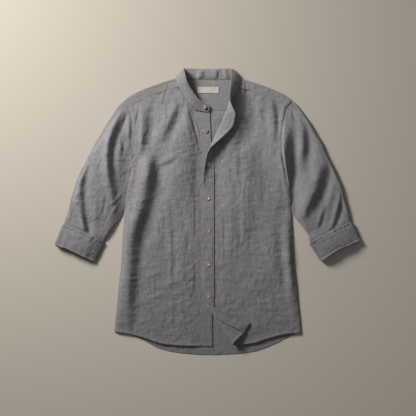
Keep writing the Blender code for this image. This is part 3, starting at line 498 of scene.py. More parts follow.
def crumple(x: Array, y: Array, seed: int = 0) -> Array:
    """Soft and pinched unevenness of washed linen.

    Args:
        x, y: Places to read.
        seed: Added to each table's own seeds, so that no two pieces are creased alike.

    Returns:
        The height at each place.
    """
    pitch_x, pitch_y, height, start = BEND
    bend = noise(x, y, pitch_x * MM, pitch_y * MM, start + seed) * height * MM
    total = np.zeros(x.shape)
    for pitch_x, pitch_y, height, start in CRUMPLE:
        total += height * MM * noise(x + bend, y, pitch_x * MM, pitch_y * MM, start + seed)
    for pitch_x, pitch_y, height, start in PINCHED:
        value = np.abs(noise(x + bend, y + bend, pitch_x * MM, pitch_y * MM, start + seed))
        total += height * MM * (np.exp(-((value / PINCH) ** 2)) - 0.3)
    return total


def risen(x: Array, y: Array, tables: tuple) -> Array:
    """How far the cloth stands up near the neck's edges.

    Args:
        x, y: Places in plan.
        tables: One table for each edge: x, y and the rise there, in millimetres.

    Returns:
        The height, in metres, of the edge that rises most at each place.
    """
    found = []
    for rows in tables:
        table = np.array(rows, float) * MM
        distance, place, _ = nearest(x, y, table[:, :2])
        height = np.interp(place, np.linspace(0, 1, len(table)), table[:, 2])
        found.append(height * np.exp(-((distance / RISE_REACH) ** 2)))
    return np.max(found, axis=0)


def softly_above(level: Array, lowest: float) -> Array:
    """The level, bent so that it never comes under the lowest."""
    soft = 1.2 * MM
    return lowest + soft * np.logaddexp(0.0, (level - lowest) / soft)


def side_half(y: Array) -> Array:
    """Half the width of the body at this height."""
    return by_first(BODY_SIDE, y)[..., 0]


def armhole_level(y: Array, side: int) -> Array:
    """Height of the cloth along the armhole."""
    return by_first(ARMHOLE_LEVEL, y)[..., 0 if side < 0 else 1]


def beside(line: Array, distance: float) -> Array:
    """A line in plan moved to its left by a distance, or to its right by a negative one."""
    run = unit(np.gradient(line, axis=0))
    return line + distance * joined(-run[:, 1], run[:, 0])


# ---- Meshes ----

# cloth is shaded sharp where it bends by more than this
SHARP = math.radians(62)


def deselect() -> None:
    """Deselects every object, so that an operator acts on nothing by mistake."""
    for obj in bpy.context.view_layer.objects:
        obj.select_set(False)


def grid_faces(rows: int, columns: int, closed: bool = False) -> Array:
    """Joins a grid of points, row by row.

    Args:
        rows, columns: Size of the grid.
        closed: Whether the last column is joined to the first.

    Returns:
        The grid's quads.
    """
    i, j = np.meshgrid(np.arange(rows - 1), np.arange(columns if closed else columns - 1), indexing="ij")
    k = (j + 1) % columns
    corners = (i * columns + j, i * columns + k, (i + 1) * columns + k, (i + 1) * columns + j)
    return joined(*corners).reshape(-1, 4)


def area_vectors(points: Array, faces: Array) -> Array:
    """The way each quad or triangle faces, as long as twice its area."""
    corners = points[faces]
    return np.cross(corners[:, 2] - corners[:, 0], corners[:, -1] - corners[:, 1])


def point_normals(points: Array, faces: list[Array]) -> Array:
    """Finds which way a surface faces at its points.

    Args:
        points: The points.
        faces: Arrays of quads or triangles.

    Returns:
        The unit normal at each point, weighed by the area of the faces round it.
    """
    normals = np.zeros_like(points)
    for group in faces:
        areas = area_vectors(points, group)
        for k in range(group.shape[1]):
            np.add.at(normals, group[:, k], areas)
    return unit(normals)


def open_edges(count: int, faces: list[Array]) -> Array:
    """Finds the edges of a surface's rim.

    Args:
        count: How many points the surface has.
        faces: Arrays of quads or triangles.

    Returns:
        The two ends of each edge that only one face uses, in that face's order.
    """
    edges = np.concatenate([joined(group, np.roll(group, -1, axis=1)).reshape(-1, 2) for group in faces])
    forward, backward = edges @ (count, 1), edges @ (1, count)
    return edges[~np.isin(forward, backward)]


def walled(points: Array, faces: list[Array], wall: Array, rim: int) -> tuple[Array, list[Array], Array]:
    """Gives a surface a wall of cloth with a rounded rim.

    Args:
        points: The middle of the wall.
        faces: Arrays of quads or triangles.
        wall: Thickness at each point.
        rim: Steps round the rim's half circle.

    Returns:
        The points, the faces, and for each point the one of the surface that it comes from.
    """
    count = len(points)
    normals = point_normals(points, faces)
    edges = open_edges(count, faces)
    half = (wall / 2)[:, None]
    made = [points + normals * half, points - normals * half]
    source = [np.arange(count), np.arange(count)]
    polygons = [*faces, *[group[:, ::-1] + count for group in faces]]
    if len(edges):
        run = points[edges[:, 1]] - points[edges[:, 0]]
        outward = np.zeros_like(points)
        for k in (0, 1):
            np.add.at(outward, edges[:, k], np.cross(run, normals[edges[:, k]]))
        outward = unit(outward)
        border = np.unique(edges)
        place = np.zeros(count, int)
        place[border] = np.arange(len(border))
        levels = [edges]
        total = 2 * count
        for k in range(1, rim):
            angle = math.pi * k / rim
            around = normals[border] * math.cos(angle) + outward[border] * math.sin(angle)
            made.append(points[border] + around * half[border])
            source.append(border)
            levels.append(place[edges] + total)
            total += len(border)
        levels.append(edges + count)
        for upper, lower in zip(levels, levels[1:]):
            polygons.append(joined(upper[:, 1], upper[:, 0], lower[:, 0], lower[:, 1]))
    return np.concatenate(made), polygons, np.concatenate(source)


def add_mesh(
    name: str, points: Array, faces: list[Array], cut: Array | None = None, closed: bool = False
) -> Object:
    """Makes an object of points and faces.

    Args:
        name: Name of the object.
        points: Its points.
        faces: Arrays of faces with the same number of corners.
        cut: Place of each point on the flat cut, which becomes the UV map named cut.
        closed: Whether the cut goes round a tube, so that some faces span from its last column to its first.

    Returns:
        The object.
    """
    mesh = bpy.data.meshes.new(name)
    mesh.from_pydata(points.tolist(), [], [face for group in faces for face in group.tolist()])
    if cut is not None:
        corners = np.concatenate([cut[group].reshape(-1, 2) for group in faces])
        if closed:
            spans = [np.repeat(np.ptp(cut[group][..., 0], axis=1), group.shape[1]) for group in faces]
            spans = np.concatenate(spans)
            middle, width = np.median(cut[:, 0]), np.ptp(cut[:, 0])
            corners[:, 0] += width * ((spans > width / 2) & (corners[:, 0] < middle))
        mesh.uv_layers.new(name="cut").data.foreach_set("uv", corners.astype(np.float32).ravel())
    mesh.shade_smooth()
    mesh.set_sharp_from_angle(angle=SHARP)
    obj = bpy.data.objects.new(name, mesh)
    bpy.context.collection.objects.link(obj)
    return obj


# ---- Finishes ----


class Slot(Enum):
    """Material slots of the part."""

    LINEN = "grey_linen"
    SHELL = "shell_button"
    TAPE = "cream_tape"


class Effect:
    """A shader node group that is being put together."""

    def __init__(self, name: str) -> None:
        """Starts the group with its input and output nodes.

        Args:
            name: Name of the group.
        """
        self.tree = bpy.data.node_groups.new(name, "ShaderNodeTree")
        self.start = self.node("NodeGroupInput")
        self.end = self.node("NodeGroupOutput")

    def takes(self, name: str, kind: str) -> Socket:
        """Adds a named input of this kind and returns where to read it."""
        self.tree.interface.new_socket(name, in_out="INPUT", socket_type=f"NodeSocket{kind}")
        return self.start.outputs[name]

    def gives(self, name: str, kind: str, value: Socket) -> None:
        """Adds a named output of this kind that carries a value."""
        self.tree.interface.new_socket(name, in_out="OUTPUT", socket_type=f"NodeSocket{kind}")
        self.tree.links.new(value, self.end.inputs[name])

    def node(self, kind: str, **settings: object) -> bpy.types.Node:
        """Adds a node to the group.

        Args:
            kind: Blender's name for the kind of node.
            settings: Properties to set on it.

        Returns:
            The node.
        """
        node = self.tree.nodes.new(kind)
        for key, value in settings.items():
            setattr(node, key, value)
        return node

    def feed(self, socket: Socket, value: object) -> None:
        """Links a socket to another, or sets its value.

        Args:
            socket: The input socket.
            value: The output socket to link, or the value to set.
        """
        if isinstance(value, Socket):
            self.tree.links.new(value, socket)
        else:
            socket.default_value = value

    def math(self, operation: str, *values: object) -> Socket:
        """Adds one step of arithmetic.

        Args:
            operation: Blender's name for the step.
            values: Sockets or numbers that it works on.

        Returns:
            The socket of the result.
        """
        node = self.node("ShaderNodeMath", operation=operation)
        for socket, value in zip(node.inputs, values):
            self.feed(socket, value)
        return node.outputs[0]

    def parts(self, vector: Socket) -> list[Socket]:
        """Splits a vector.

        Args:
            vector: Its socket.

        Returns:
            The sockets of its three coordinates.
        """
        split = self.node("ShaderNodeSeparateXYZ")
        self.feed(split.inputs[0], vector)
        return list(split.outputs)

    def noise(self, x: object, y: object, z: object, detail: float) -> Socket:
        """Adds smooth noise whose bumps are about one unit apart.

        Args:
            x, y, z: Where to read it, each a socket or a number.
            detail: How many finer layers the noise has.

        Returns:
            The socket of the noise, which is about 0.5 on average.
        """
        place = self.node("ShaderNodeCombineXYZ")
        for socket, value in zip(place.inputs, (x, y, z)):
            self.feed(socket, value)
        noise = self.node("ShaderNodeTexNoise")
        self.feed(noise.inputs["Vector"], place.outputs[0])
        self.feed(noise.inputs["Scale"], 1.0)
        self.feed(noise.inputs["Detail"], detail)
        return noise.outputs[0]

    def blend(self, share: object, first: object, second: object) -> Socket:
        """Adds a mix of two colours.

        Args:
            share: How much of the second colour there is.
            first, second: The two colours.

        Returns:
            The socket of the colour.
        """
        mix = self.node("ShaderNodeMix", data_type="RGBA")
        for name, value in (("Factor_Float", share), ("A_Color", first), ("B_Color", second)):
            self.feed(next(s for s in mix.inputs if s.identifier == name), value)
        return next(s for s in mix.outputs if s.identifier == "Result_Color")


def weave_effect() -> bpy.types.NodeTree:
    """Plain weave of uneven yarn.

    Returns:
        A group that takes the place on the cut and in the object, in metres, the colours of the lightest and
        the darkest yarn, how uneven the yarn is, the distance between two yarns and how much painted light
        brightens the cloth for each metre up, and gives its colour, roughness and height.
    """
    effect = Effect("weave")
    cut = effect.takes("Cut", "Vector")
    light, dark = effect.takes("Light Yarn", "Color"), effect.takes("Dark Yarn", "Color")
    slub, pitch = effect.takes("Slub", "Float"), effect.takes("Yarn Pitch", "Float")
    place, fade = effect.takes("Place", "Vector"), effect.takes("Fade", "Float")
    u, v, _ = effect.parts(cut)
    tone: object = 0.5
    # width and length of a patch of yarn in millimetres, its weight, its seed and its detail: streaks that
    # run up, streaks that run across, slubs and clouds
    patches = (
        (0.9, 22, 1.0, 1.5, 1.0), (1.7, 46, 0.45, 7.5, 1.0), (18, 1.0, 0.8, 12.5, 1.0),
        (30, 1.9, 0.25, 19.5, 1.0), (2.3, 2.3, 1.0, 31.5, 2.0), (14, 14, 0.2, 43.5, 2.0),
    )
    for width, length, weight, seed, detail in patches:
        x, y = effect.math("MULTIPLY", u, 1 / (width * MM)), effect.math("MULTIPLY", v, 1 / (length * MM))
        part = effect.math("SUBTRACT", effect.noise(x, y, seed, detail), 0.5)
        tone = effect.math("MULTIPLY_ADD", part, effect.math("MULTIPLY", slub, weight), tone)
    # painted light: the tone rises with the height up the object, so the upper body is painted lighter as if
    # more brightly lit
    tone = effect.math("MULTIPLY_ADD", effect.parts(place)[1], fade, tone)
    turn = effect.math("DIVIDE", 2 * math.pi, pitch)
    over, under = (effect.math("COSINE", effect.math("MULTIPLY", socket, turn)) for socket in (u, v))
    yarn = effect.math("MULTIPLY_ADD", effect.math("MULTIPLY", over, under), 0.25, 0.25)
    effect.gives("Color", "Color", effect.blend(tone, dark, light))
    effect.gives("Roughness", "Float", effect.math("MULTIPLY_ADD", tone, 0.12, 0.8))
    effect.gives("Height", "Float", effect.math("MULTIPLY_ADD", tone, 0.9, yarn))
    return effect.tree


def shell_effect() -> bpy.types.NodeTree:
    """Cloudy bands of polished shell.

    Returns:
        A group that takes a place in metres and the colours of the lightest and the darkest band, and gives
        the shell's colour and roughness.
    """
    effect = Effect("shell")
    place = effect.takes("Place", "Vector")
    light, dark = effect.takes("Light Band", "Color"), effect.takes("Dark Band", "Color")
    x, y, z = (effect.math("MULTIPLY", socket, 1 / (3.5 * MM)) for socket in effect.parts(place))
    cloud = effect.noise(x, y, z, 2.0)
    bent = effect.math("MULTIPLY_ADD", cloud, 3.0, effect.math("MULTIPLY", x, 0.5))
    wave = effect.math("MULTIPLY_ADD", effect.math("SINE", effect.math("MULTIPLY", bent, 4.0)), 0.3, cloud)
    share = effect.math("MAXIMUM", effect.math("MINIMUM", effect.math("MULTIPLY", wave, 1.1), 1.0), 0.0)
    effect.gives("Color", "Color", effect.blend(share, dark, light))
    effect.gives("Roughness", "Float", effect.math("MULTIPLY_ADD", cloud, 0.15, 0.18))
    return effect.tree


def material_of(name: str, tree: bpy.types.NodeTree, **inputs: object) -> Material:
    """Makes a material whose shader is fed by an effect.

    Args:
        name: Name of the material.
        tree: The effect's node group. It reads the place in the object, and on the cut if it has a Cut.
        inputs: Values of the effect's other inputs, with underscores for the spaces in their names.

    Returns:
        The material.
    """
    material = bpy.data.materials.new(name)
    material.use_nodes = True
    nodes, links = material.node_tree.nodes, material.node_tree.links
    shader = nodes["Principled BSDF"]
    effect = nodes.new("ShaderNodeGroup")
    effect.node_tree = tree
    if "Cut" in effect.inputs:
        coordinates = nodes.new("ShaderNodeUVMap")
        coordinates.uv_map = "cut"
        links.new(coordinates.outputs["UV"], effect.inputs["Cut"])
    own = nodes.new("ShaderNodeTexCoord")
    links.new(own.outputs["Object"], effect.inputs["Place"])
    for key, value in inputs.items():
        effect.inputs[key.replace("_", " ")].default_value = value
    links.new(effect.outputs["Color"], shader.inputs["Base Color"])
    links.new(effect.outputs["Roughness"], shader.inputs["Roughness"])
    if "Height" in effect.outputs:
        bump = nodes.new("ShaderNodeBump")
        bump.inputs["Strength"].default_value = 0.6
        bump.inputs["Distance"].default_value = 0.15 * MM
        links.new(effect.outputs["Height"], bump.inputs["Height"])
        links.new(bump.outputs["Normal"], shader.inputs["Normal"])
    return material


def set_shader(material: Material, **values: object) -> Material:
    """Sets plain values on a material's shader.

    Args:
        material: The material.
        values: The shader's inputs, with underscores for the spaces in their names.

    Returns:
        The material.
    """
    shader = material.node_tree.nodes["Principled BSDF"]
    for key, value in values.items():
        shader.inputs[key.replace("_", " ")].default_value = value
    return material


@dataclass(frozen=True)
class Woven:
    """Woven cloth: its lightest and darkest yarn, how uneven the yarn is, its pitch, and its sheen.

    The fade is painted light: how much lighter the cloth is painted for each metre towards the collar, a
    painted brightening that stands in for the upper body being more brightly lit.
    """

    name: str
    light: Color
    dark: Color
    slub: float = 1.0
    pitch: float = 0.6 * MM
    sheen: float = 0.15
    fade: float = 0.0

    def material(self, weave: bpy.types.NodeTree) -> Material:
        """Makes the cloth's material.

        Args:
            weave: The weave's node group.

        Returns:
            The material.
        """
        light, dark = (*self.light, 1.0), (*self.dark, 1.0)
        yarn = {"Light_Yarn": light, "Dark_Yarn": dark, "Slub": self.slub, "Yarn_Pitch": self.pitch}
        made = material_of(self.name, weave, **yarn, Fade=self.fade)
        return set_shader(made, Sheen_Weight=self.sheen, Sheen_Roughness=0.5, Specular_IOR_Level=0.25)


@dataclass(frozen=True)
class Shell:
    """Polished shell of the buttons."""

    name: str = "polished_shell"
    light: Color = (0.5, 0.44, 0.37)
    dark: Color = (0.17, 0.125, 0.095)

    def material(self, swirl: bpy.types.NodeTree) -> Material:
        """Makes the shell's material from the node group of its bands."""
        made = material_of(self.name, swirl, Light_Band=(*self.light, 1), Dark_Band=(*self.dark, 1))
        return set_shader(made, Coat_Weight=0.5, Coat_Roughness=0.12)


@dataclass(frozen=True)
class Plain:
    """One even colour."""

    name: str
    color: Color
    roughness: float

    def material(self) -> Material:
        """Makes the plain material.

        Returns:
            The material.
        """
        made = bpy.data.materials.new(self.name)
        made.use_nodes = True
        color = (*self.color, 1.0)
        return set_shader(made, Base_Color=color, Roughness=self.roughness, Specular_IOR_Level=0.2)


@dataclass(frozen=True)
class Finishes:
    """The materials of the shirt."""

    linen: Material
    tape: Material
    shell: Material
    thread: Material

    @classmethod
    def make(cls) -> Finishes:
        """Makes every material once.

        Returns:
            The materials.
        """
        weave = weave_effect()
        # fade paints light: the linen is painted lighter towards the collar, standing in for the brighter
        # light on the upper body
        linen = Woven("washed_linen", (0.261, 0.2545, 0.266), (0.127, 0.1235, 0.1305), slub=1.15, fade=0.8)
        tape = Woven("cream_tape", (0.6, 0.58, 0.52), (0.42, 0.4, 0.35), slub=0.6, pitch=0.8 * MM, sheen=0.1)
        thread = Plain("grey_thread", (0.2, 0.197, 0.2), 0.7)
        shell = Shell().material(shell_effect())
        return cls(linen.material(weave), tape.material(weave), shell, thread.material())


def enter(obj: Object, finish: Material, slot: Slot, *nodes: str) -> Object:
    """Gives a finished piece its material and its place in the frame.

    Args:
        obj: The piece.
        finish: Its material.
        slot: The part's material slot, which is not used.
        nodes: The solids that it stands for.

    Returns:
        The piece.
    """
    obj.data.materials.clear()
    obj.data.materials.append(finish)
    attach(obj, BODY)
    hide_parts(*nodes)
    LOG.info("%s: %d faces", obj.name, len(obj.data.polygons))
    return obj


# ---- Cloth ----

# how far from a point, in its surface's own coordinates, the slope there is measured
NUDGE = 2e-4


class Held(Enum):
    """How a piece of cloth is held where it lies."""

    LAID = "laid"
    FOLDED = "folded"


@dataclass(kw_only=True)
class Cloth:
    """One piece of cloth, which stands for one solid.

    A piece maps two coordinates of its own, a and b, to the middle of its wall. The start is where its cut
    lies on the cloth, in metres, which keeps the weave of any two pieces apart.
    """

    name: str
    node: str
    held: Held = Held.LAID
    rests_on: tuple[str, ...] = ("back_panel",)
    wall: float = 0.7 * MM
    rim: int = 2
    closed: bool = False
    slot: Slot = Slot.LINEN
    start: Pair = (0.0, 0.0)

    def at(self, a: Array, b: Array) -> Array:
        """Places in space of these coordinates."""
        raise NotImplementedError

    def lines(self) -> tuple[Array, Array]:
        """The coordinates of the piece's columns, a, and of its rows, b."""
        raise NotImplementedError

    def faces(self, rows: int, columns: int) -> Array:
        """Quads of the grid of rows and columns."""
        return grid_faces(rows, columns, closed=self.closed)

    def grid(self, a: Array, b: Array) -> Array:
        """Places in space of the whole piece's columns and rows."""
        return self.at(a, b)

    def pattern(self, a: Array, b: Array, points: Array) -> Array:
        """Place of each point on the flat cut, in metres: where it lies, unless the piece is bent."""
        return points[..., :2]

    def seams(self) -> list[Line]:
        """Lines of stitches, as their points on the cloth and the directions they face."""
        return []

    def buttonholes(self) -> list[Hole]:
        """The middle of each worked buttonhole, the way it runs and the way it faces."""
        return []

    def walls(self, a: Array, b: Array) -> Array:
        """Thickness of the cloth."""
        return np.full(a.shape, self.wall)

    def build(self, finish: Material) -> Object:
        """Args:
            finish: The cloth's material.

        Returns:
            The object.
        """
        a, b = self.lines()
        points = self.grid(a, b)
        cut = (self.pattern(a, b, points) + self.start).reshape(-1, 2)
        faces = self.faces(*a.shape)
        surface = points.reshape(-1, 3)
        made, polygons, source = walled(surface, [faces], self.walls(a, b).ravel(), self.rim)
        if inside_out(made, polygons):
            polygons = [group[:, ::-1] for group in polygons]
        obj = add_mesh(self.name, made, polygons, cut[source], self.closed)
        enter(obj, finish, self.slot, self.node)
        return obj

    def seam_line(self, a: Array | float, b: Array | float, lift: float = 1.0) -> Line:
        """Finds a line on the cloth.

        Args:
            a, b: The two coordinates of each point of the line.
            lift: 1 for the face, -1 for the wrong side.

        Returns:
            The points and the unit normals.
        """
        a, b = np.broadcast_arrays(a, b)
        normals = facing(self.at, a, b) * lift
        return self.at(a, b) + normals * self.walls(a, b)[..., None] / 2, normals

    def both_faces(self, shares: Array, b: Array) -> list[Line]:
        """Lines on both sides of the cloth at each of these first coordinates."""
        return [self.seam_line(share, b, lift) for share in shares for lift in (1.0, -1.0)]


def facing(place: Callable[[Array, Array], Array], a: Array, b: Array) -> Array:
    """Finds which way a surface faces.

    Args:
        place: The surface: places in space of two coordinates.
        a, b: The two coordinates of each point.

    Returns:
        The unit normals.
    """
    across = place(a + NUDGE, b) - place(a - NUDGE, b)
    up = place(a, b + NUDGE) - place(a, b - NUDGE)
    return unit(np.cross(across, up))


def inside_out(points: Array, polygons: list[Array]) -> bool:
    """Whether the faces of a closed mesh look inwards."""
    return sum(np.vdot(points[group].mean(axis=1), area_vectors(points, group)) for group in polygons) < 0


def patch(sides: Line, bottom: Array, top: Array, shares: Array, rows: Array, power: int) -> Array:
    """Makes a grid of points in plan that meets four edges.

    Args:
        sides: Points where each row starts, and points where it ends.
        bottom: Points of the first row.
        top: Points of the last row.
        shares: Each column's share of the width.
        rows: Each row's share of the length.
        power: How fast the shapes of the first and last row fade out between them.

    Returns:
        The points, row by row.
    """
    share = shares[:, None]
    grid = sides[0][:, None] * (1 - share) + sides[1][:, None] * share
    for edge, near in ((bottom, 1 - rows), (top, rows)):
        bend = edge - (edge[0] * (1 - share) + edge[-1] * share)
        grid += (near**power)[:, None, None] * bend
    return grid


def pucker(distance: Array, place: Array, pitch: float, seed: int) -> Array:
    """Height of the small gathers beside a seam, from the distance to it and the place along it."""
    return noise(place, distance, pitch, 9 * MM, seed) * np.exp(-((distance / (7 * MM)) ** 2))


def groove(distance: Array, width: float) -> Array:
    """1 on a line and nearly 0 past its width."""
    return np.exp(-((distance / width) ** 2))


def sewn(distance: Array, place: Array, gathers: tuple, dip: tuple) -> Array:
    """Height that a sewn edge adds to the cloth: gathers, and a dip under the stitches.

    Args:
        distance: How far in from the edge.
        place: How far along it.
        gathers: Their height and pitch in millimetres, and their seed.
        dip: Its depth, its distance from the edge and its width, in millimetres.

    Returns:
        The height at each place.
    """
    height, pitch, seed = gathers
    depth, inset, width = dip
    dipped = depth * MM * groove(distance - inset * MM, width * MM)
    return height * MM * pucker(distance, place, pitch * MM, seed) - dipped


@dataclass(kw_only=True)
class Back(Cloth):
    """Back panel, flat on the floor below the yoke. Its coordinates are shares across and up."""

    name: str = "back_panel"
    node: str = "back"
    rests_on: tuple[str, ...] = ("floor",)
    start: Pair = (3.1, 1.7)
    level: float = 0.37 * MM
    columns: int = 120
    rows: int = 60
    stitched: float = 0.012

    def lines(self) -> tuple[Array, Array]:
        """Shares across, and shares up with more of them near the hem."""
        low, high = np.linspace(0, 1, self.rows) ** 1.3 * 0.5, np.linspace(0.5, 1, self.rows)[1:]
        return np.meshgrid(np.linspace(0, 1, self.columns), np.concatenate([low, high]))

    def at(self, a: Array, b: Array) -> Array:
        """Finds places in space.

        Args:
            a, b: Shares across and up.

        Returns:
            The places.
        """
        y = np.interp(b, (0, 0.5, 1), (BACK_HEM[0][1] * MM, UNDERARM_Y, YOKE_SEAM_Y - SEAM_GAP))
        half = side_half(y) - SEAM_GAP * ease(UNDERARM_Y - 20 * MM, UNDERARM_Y, y)
        ends, share = np.array((BACK_HEM[0], BACK_HEM[-1])) * MM, a[..., None]
        curve = along(BACK_HEM, a) * MM - ends[0] * (1 - share) - ends[1] * share
        curve *= (1 - b[..., None]) ** 6
        x, y = CENTRE_X + half * (2 * a - 1) + curve[..., 0], y + curve[..., 1]
        from_hem = np.maximum(y - by_first(BACK_HEM, x)[..., 0], 0)
        up = relief(x, y, BACK_FOLDS) + 0.35 * (crumple(x, y, 5) + 0.4 * MM)
        up *= ease(0, 20 * MM, from_hem + 6 * MM)
        up += 0.25 * MM * (1 + pucker(from_hem, x, 7 * MM, 83))
        return joined(x, y, self.level + np.maximum(up, 0))

    def seams(self) -> list[Line]:
        """The stitches of the hem."""
        return [self.seam_line(np.linspace(0.01, 0.99, 300), self.stitched)]


@dataclass(kw_only=True)
class Yoke(Cloth):
    """Yoke: flat behind the shoulders, then wrapped over each of them to its seam on the front.

    Its coordinates are the numbers of its columns and rows. First come flat rows, then rows round the folds
    of the shoulders, then rows down the front. The columns between the shoulders end along the neck.
    """

    name: str = "shoulder_yoke"
    node: str = "yoke"
    rests_on: tuple[str, ...] = ("floor", "left_front_panel", "right_front_panel")
    start: Pair = (5.3, 2.9)
    level: float = 0.37 * MM
    front_level: float = 5.7 * MM
    wrap: float = 26.0 * MM
    neck_half: float = 74.0 * MM
    neck_y: float = 362.5 * MM
    neck_lap: float = 6.0 * MM
    over: int = 60
    between: int = 40
    flat_rows: int = 16
    turn_rows: int = 9
    front_rows: int = 14
    stitched: float = 2.0 * MM

    def lines(self) -> tuple[Array, Array]:
        """Numbers of the columns and of the rows."""
        rows = self.flat_rows + self.turn_rows + self.front_rows
        return np.meshgrid(np.arange(2 * self.over + self.between), np.arange(rows))

    def faces(self, rows: int, columns: int) -> Array:
        """Leaves out the quads that would join the front parts to the neck's edge.

        Args:
            rows, columns: Size of the grid.

        Returns:
            The other quads.
        """
        quads = grid_faces(rows, columns)
        row, column = np.divmod(quads[:, 0], columns)
        across = (column == self.over - 1) | (column == self.over + self.between - 1)
        return quads[~(across & (row >= self.flat_rows + self.turn_rows - 1))]

    def edge(self) -> tuple[Array, Array, Array]:
        """Finds the folds of the shoulders and the neck's edge between them.

        Returns:
            Their points in plan, the way out from each, and 1 at those where the yoke wraps.
        """
        over = along(SHOULDER, np.linspace(0, 1, self.over)) * MM
        neck = joined(np.linspace(-1, 1, self.between) * self.neck_half, self.neck_y)
        line = np.concatenate([over[::-1] * (-1, 1), neck, over]) + (CENTRE_X, 0)
        first, last = self.over - 1, self.over + self.between
        wraps = np.ones((len(line), 1))
        wraps[first + 1:last] = 0
        run = np.gradient(line, axis=0)
        run[first], run[last] = line[first] - line[first - 1], line[last + 1] - line[last]
        return line, unit(joined(-run[:, 1], run[:, 0])), wraps

    def flat_part(self, line: Array) -> Array:
        """Lays the part behind the shoulders.

        Args:
            line: Its upper edge in plan.

        Returns:
            Points in space, row by row.
        """
        rows, share = np.linspace(0, 1, self.flat_rows), np.linspace(0, 1, len(line))[:, None]
        y = YOKE_SEAM_Y + (line[0, 1] - YOKE_SEAM_Y) * rows
        half = side_half(y) - SEAM_GAP
        left, right = (joined(CENTRE_X + side * half, y) for side in (-1, 1))
        left[-1], right[-1] = line[0], line[-1]
        low = left[0] * (1 - share) + right[0] * share
        x, y = np.moveaxis(patch((left, right), low, line, share[:, 0], rows, 1), -1, 0)
        up = 0.3 * np.maximum(crumple(x, y, 9), -0.2 * MM) + 0.06 * MM
        return joined(x, y, self.level + up)

    def grid(self, a: Array, b: Array) -> Array:
        """Lays the whole yoke.

        Args:
            a, b: Numbers of the columns and of the rows, which are not used.

        Returns:
            Points in space, row by row.
        """
        line, outward, wraps = self.edge()
        radius = (self.front_level - self.level) / 2
        start = line - outward * ((radius + self.wall / 2) * wraps + self.neck_lap * (1 - wraps))
        made, laps = list(self.flat_part(start)), []
        for angle in np.linspace(0, math.pi, self.turn_rows + 1)[1:]:
            x, y = (start + outward * radius * math.sin(angle)).T
            laps.append((joined(x, y, self.level + radius * (1 - math.cos(angle))), angle / 4))
        for part in np.linspace(0, 1, self.front_rows + 1)[1:]:
            x, y = (line - outward * (radius + (self.wrap - radius) * part)).T
            up = self.front_level + risen(x, y, (LEFT_NECK, RIGHT_NECK)) * ease(0, 1, part)
            up += (relief(x, y, YOKE_FOLDS) + 0.7 * crumple(x, y, 9)) * min(1.0, 4 * part)
            from_seam = (1 - part) * (self.wrap - radius)
            up += sewn(from_seam, x, (0.35, 5, 87), (0.2, self.stitched / MM + 0.2, 1))
            laps.append((joined(x, y, up), 0.8 + part / 5))
        for wrapped, lap in laps:
            x, y = (start + outward * self.neck_lap * lap).T
            made.append(wrapped * wraps + joined(x, y, self.level) * (1 - wraps))
        return np.array(made)

    def pattern(self, a: Array, b: Array, points: Array) -> Array:
        """The yoke unrolled: across as it lies, and up along each column."""
        return joined(points[:1, :, 0], travelled(points))

    def seams(self) -> list[Line]:
        """Finds the stitches beside both seams on the front.

        Returns:
            The two lines.
        """
        line, outward, _ = self.edge()
        plan, found = line - outward * (self.wrap - self.stitched), []
        for columns in (slice(0, self.over), slice(self.over + self.between, None)):
            x, y = plan[columns].T
            level = self.front_level + self.wall / 2 + risen(x, y, (LEFT_NECK, RIGHT_NECK))
            found.append((joined(x, y, level), np.tile((0.0, 0.0, 1.0), (len(x), 1))))
        return found


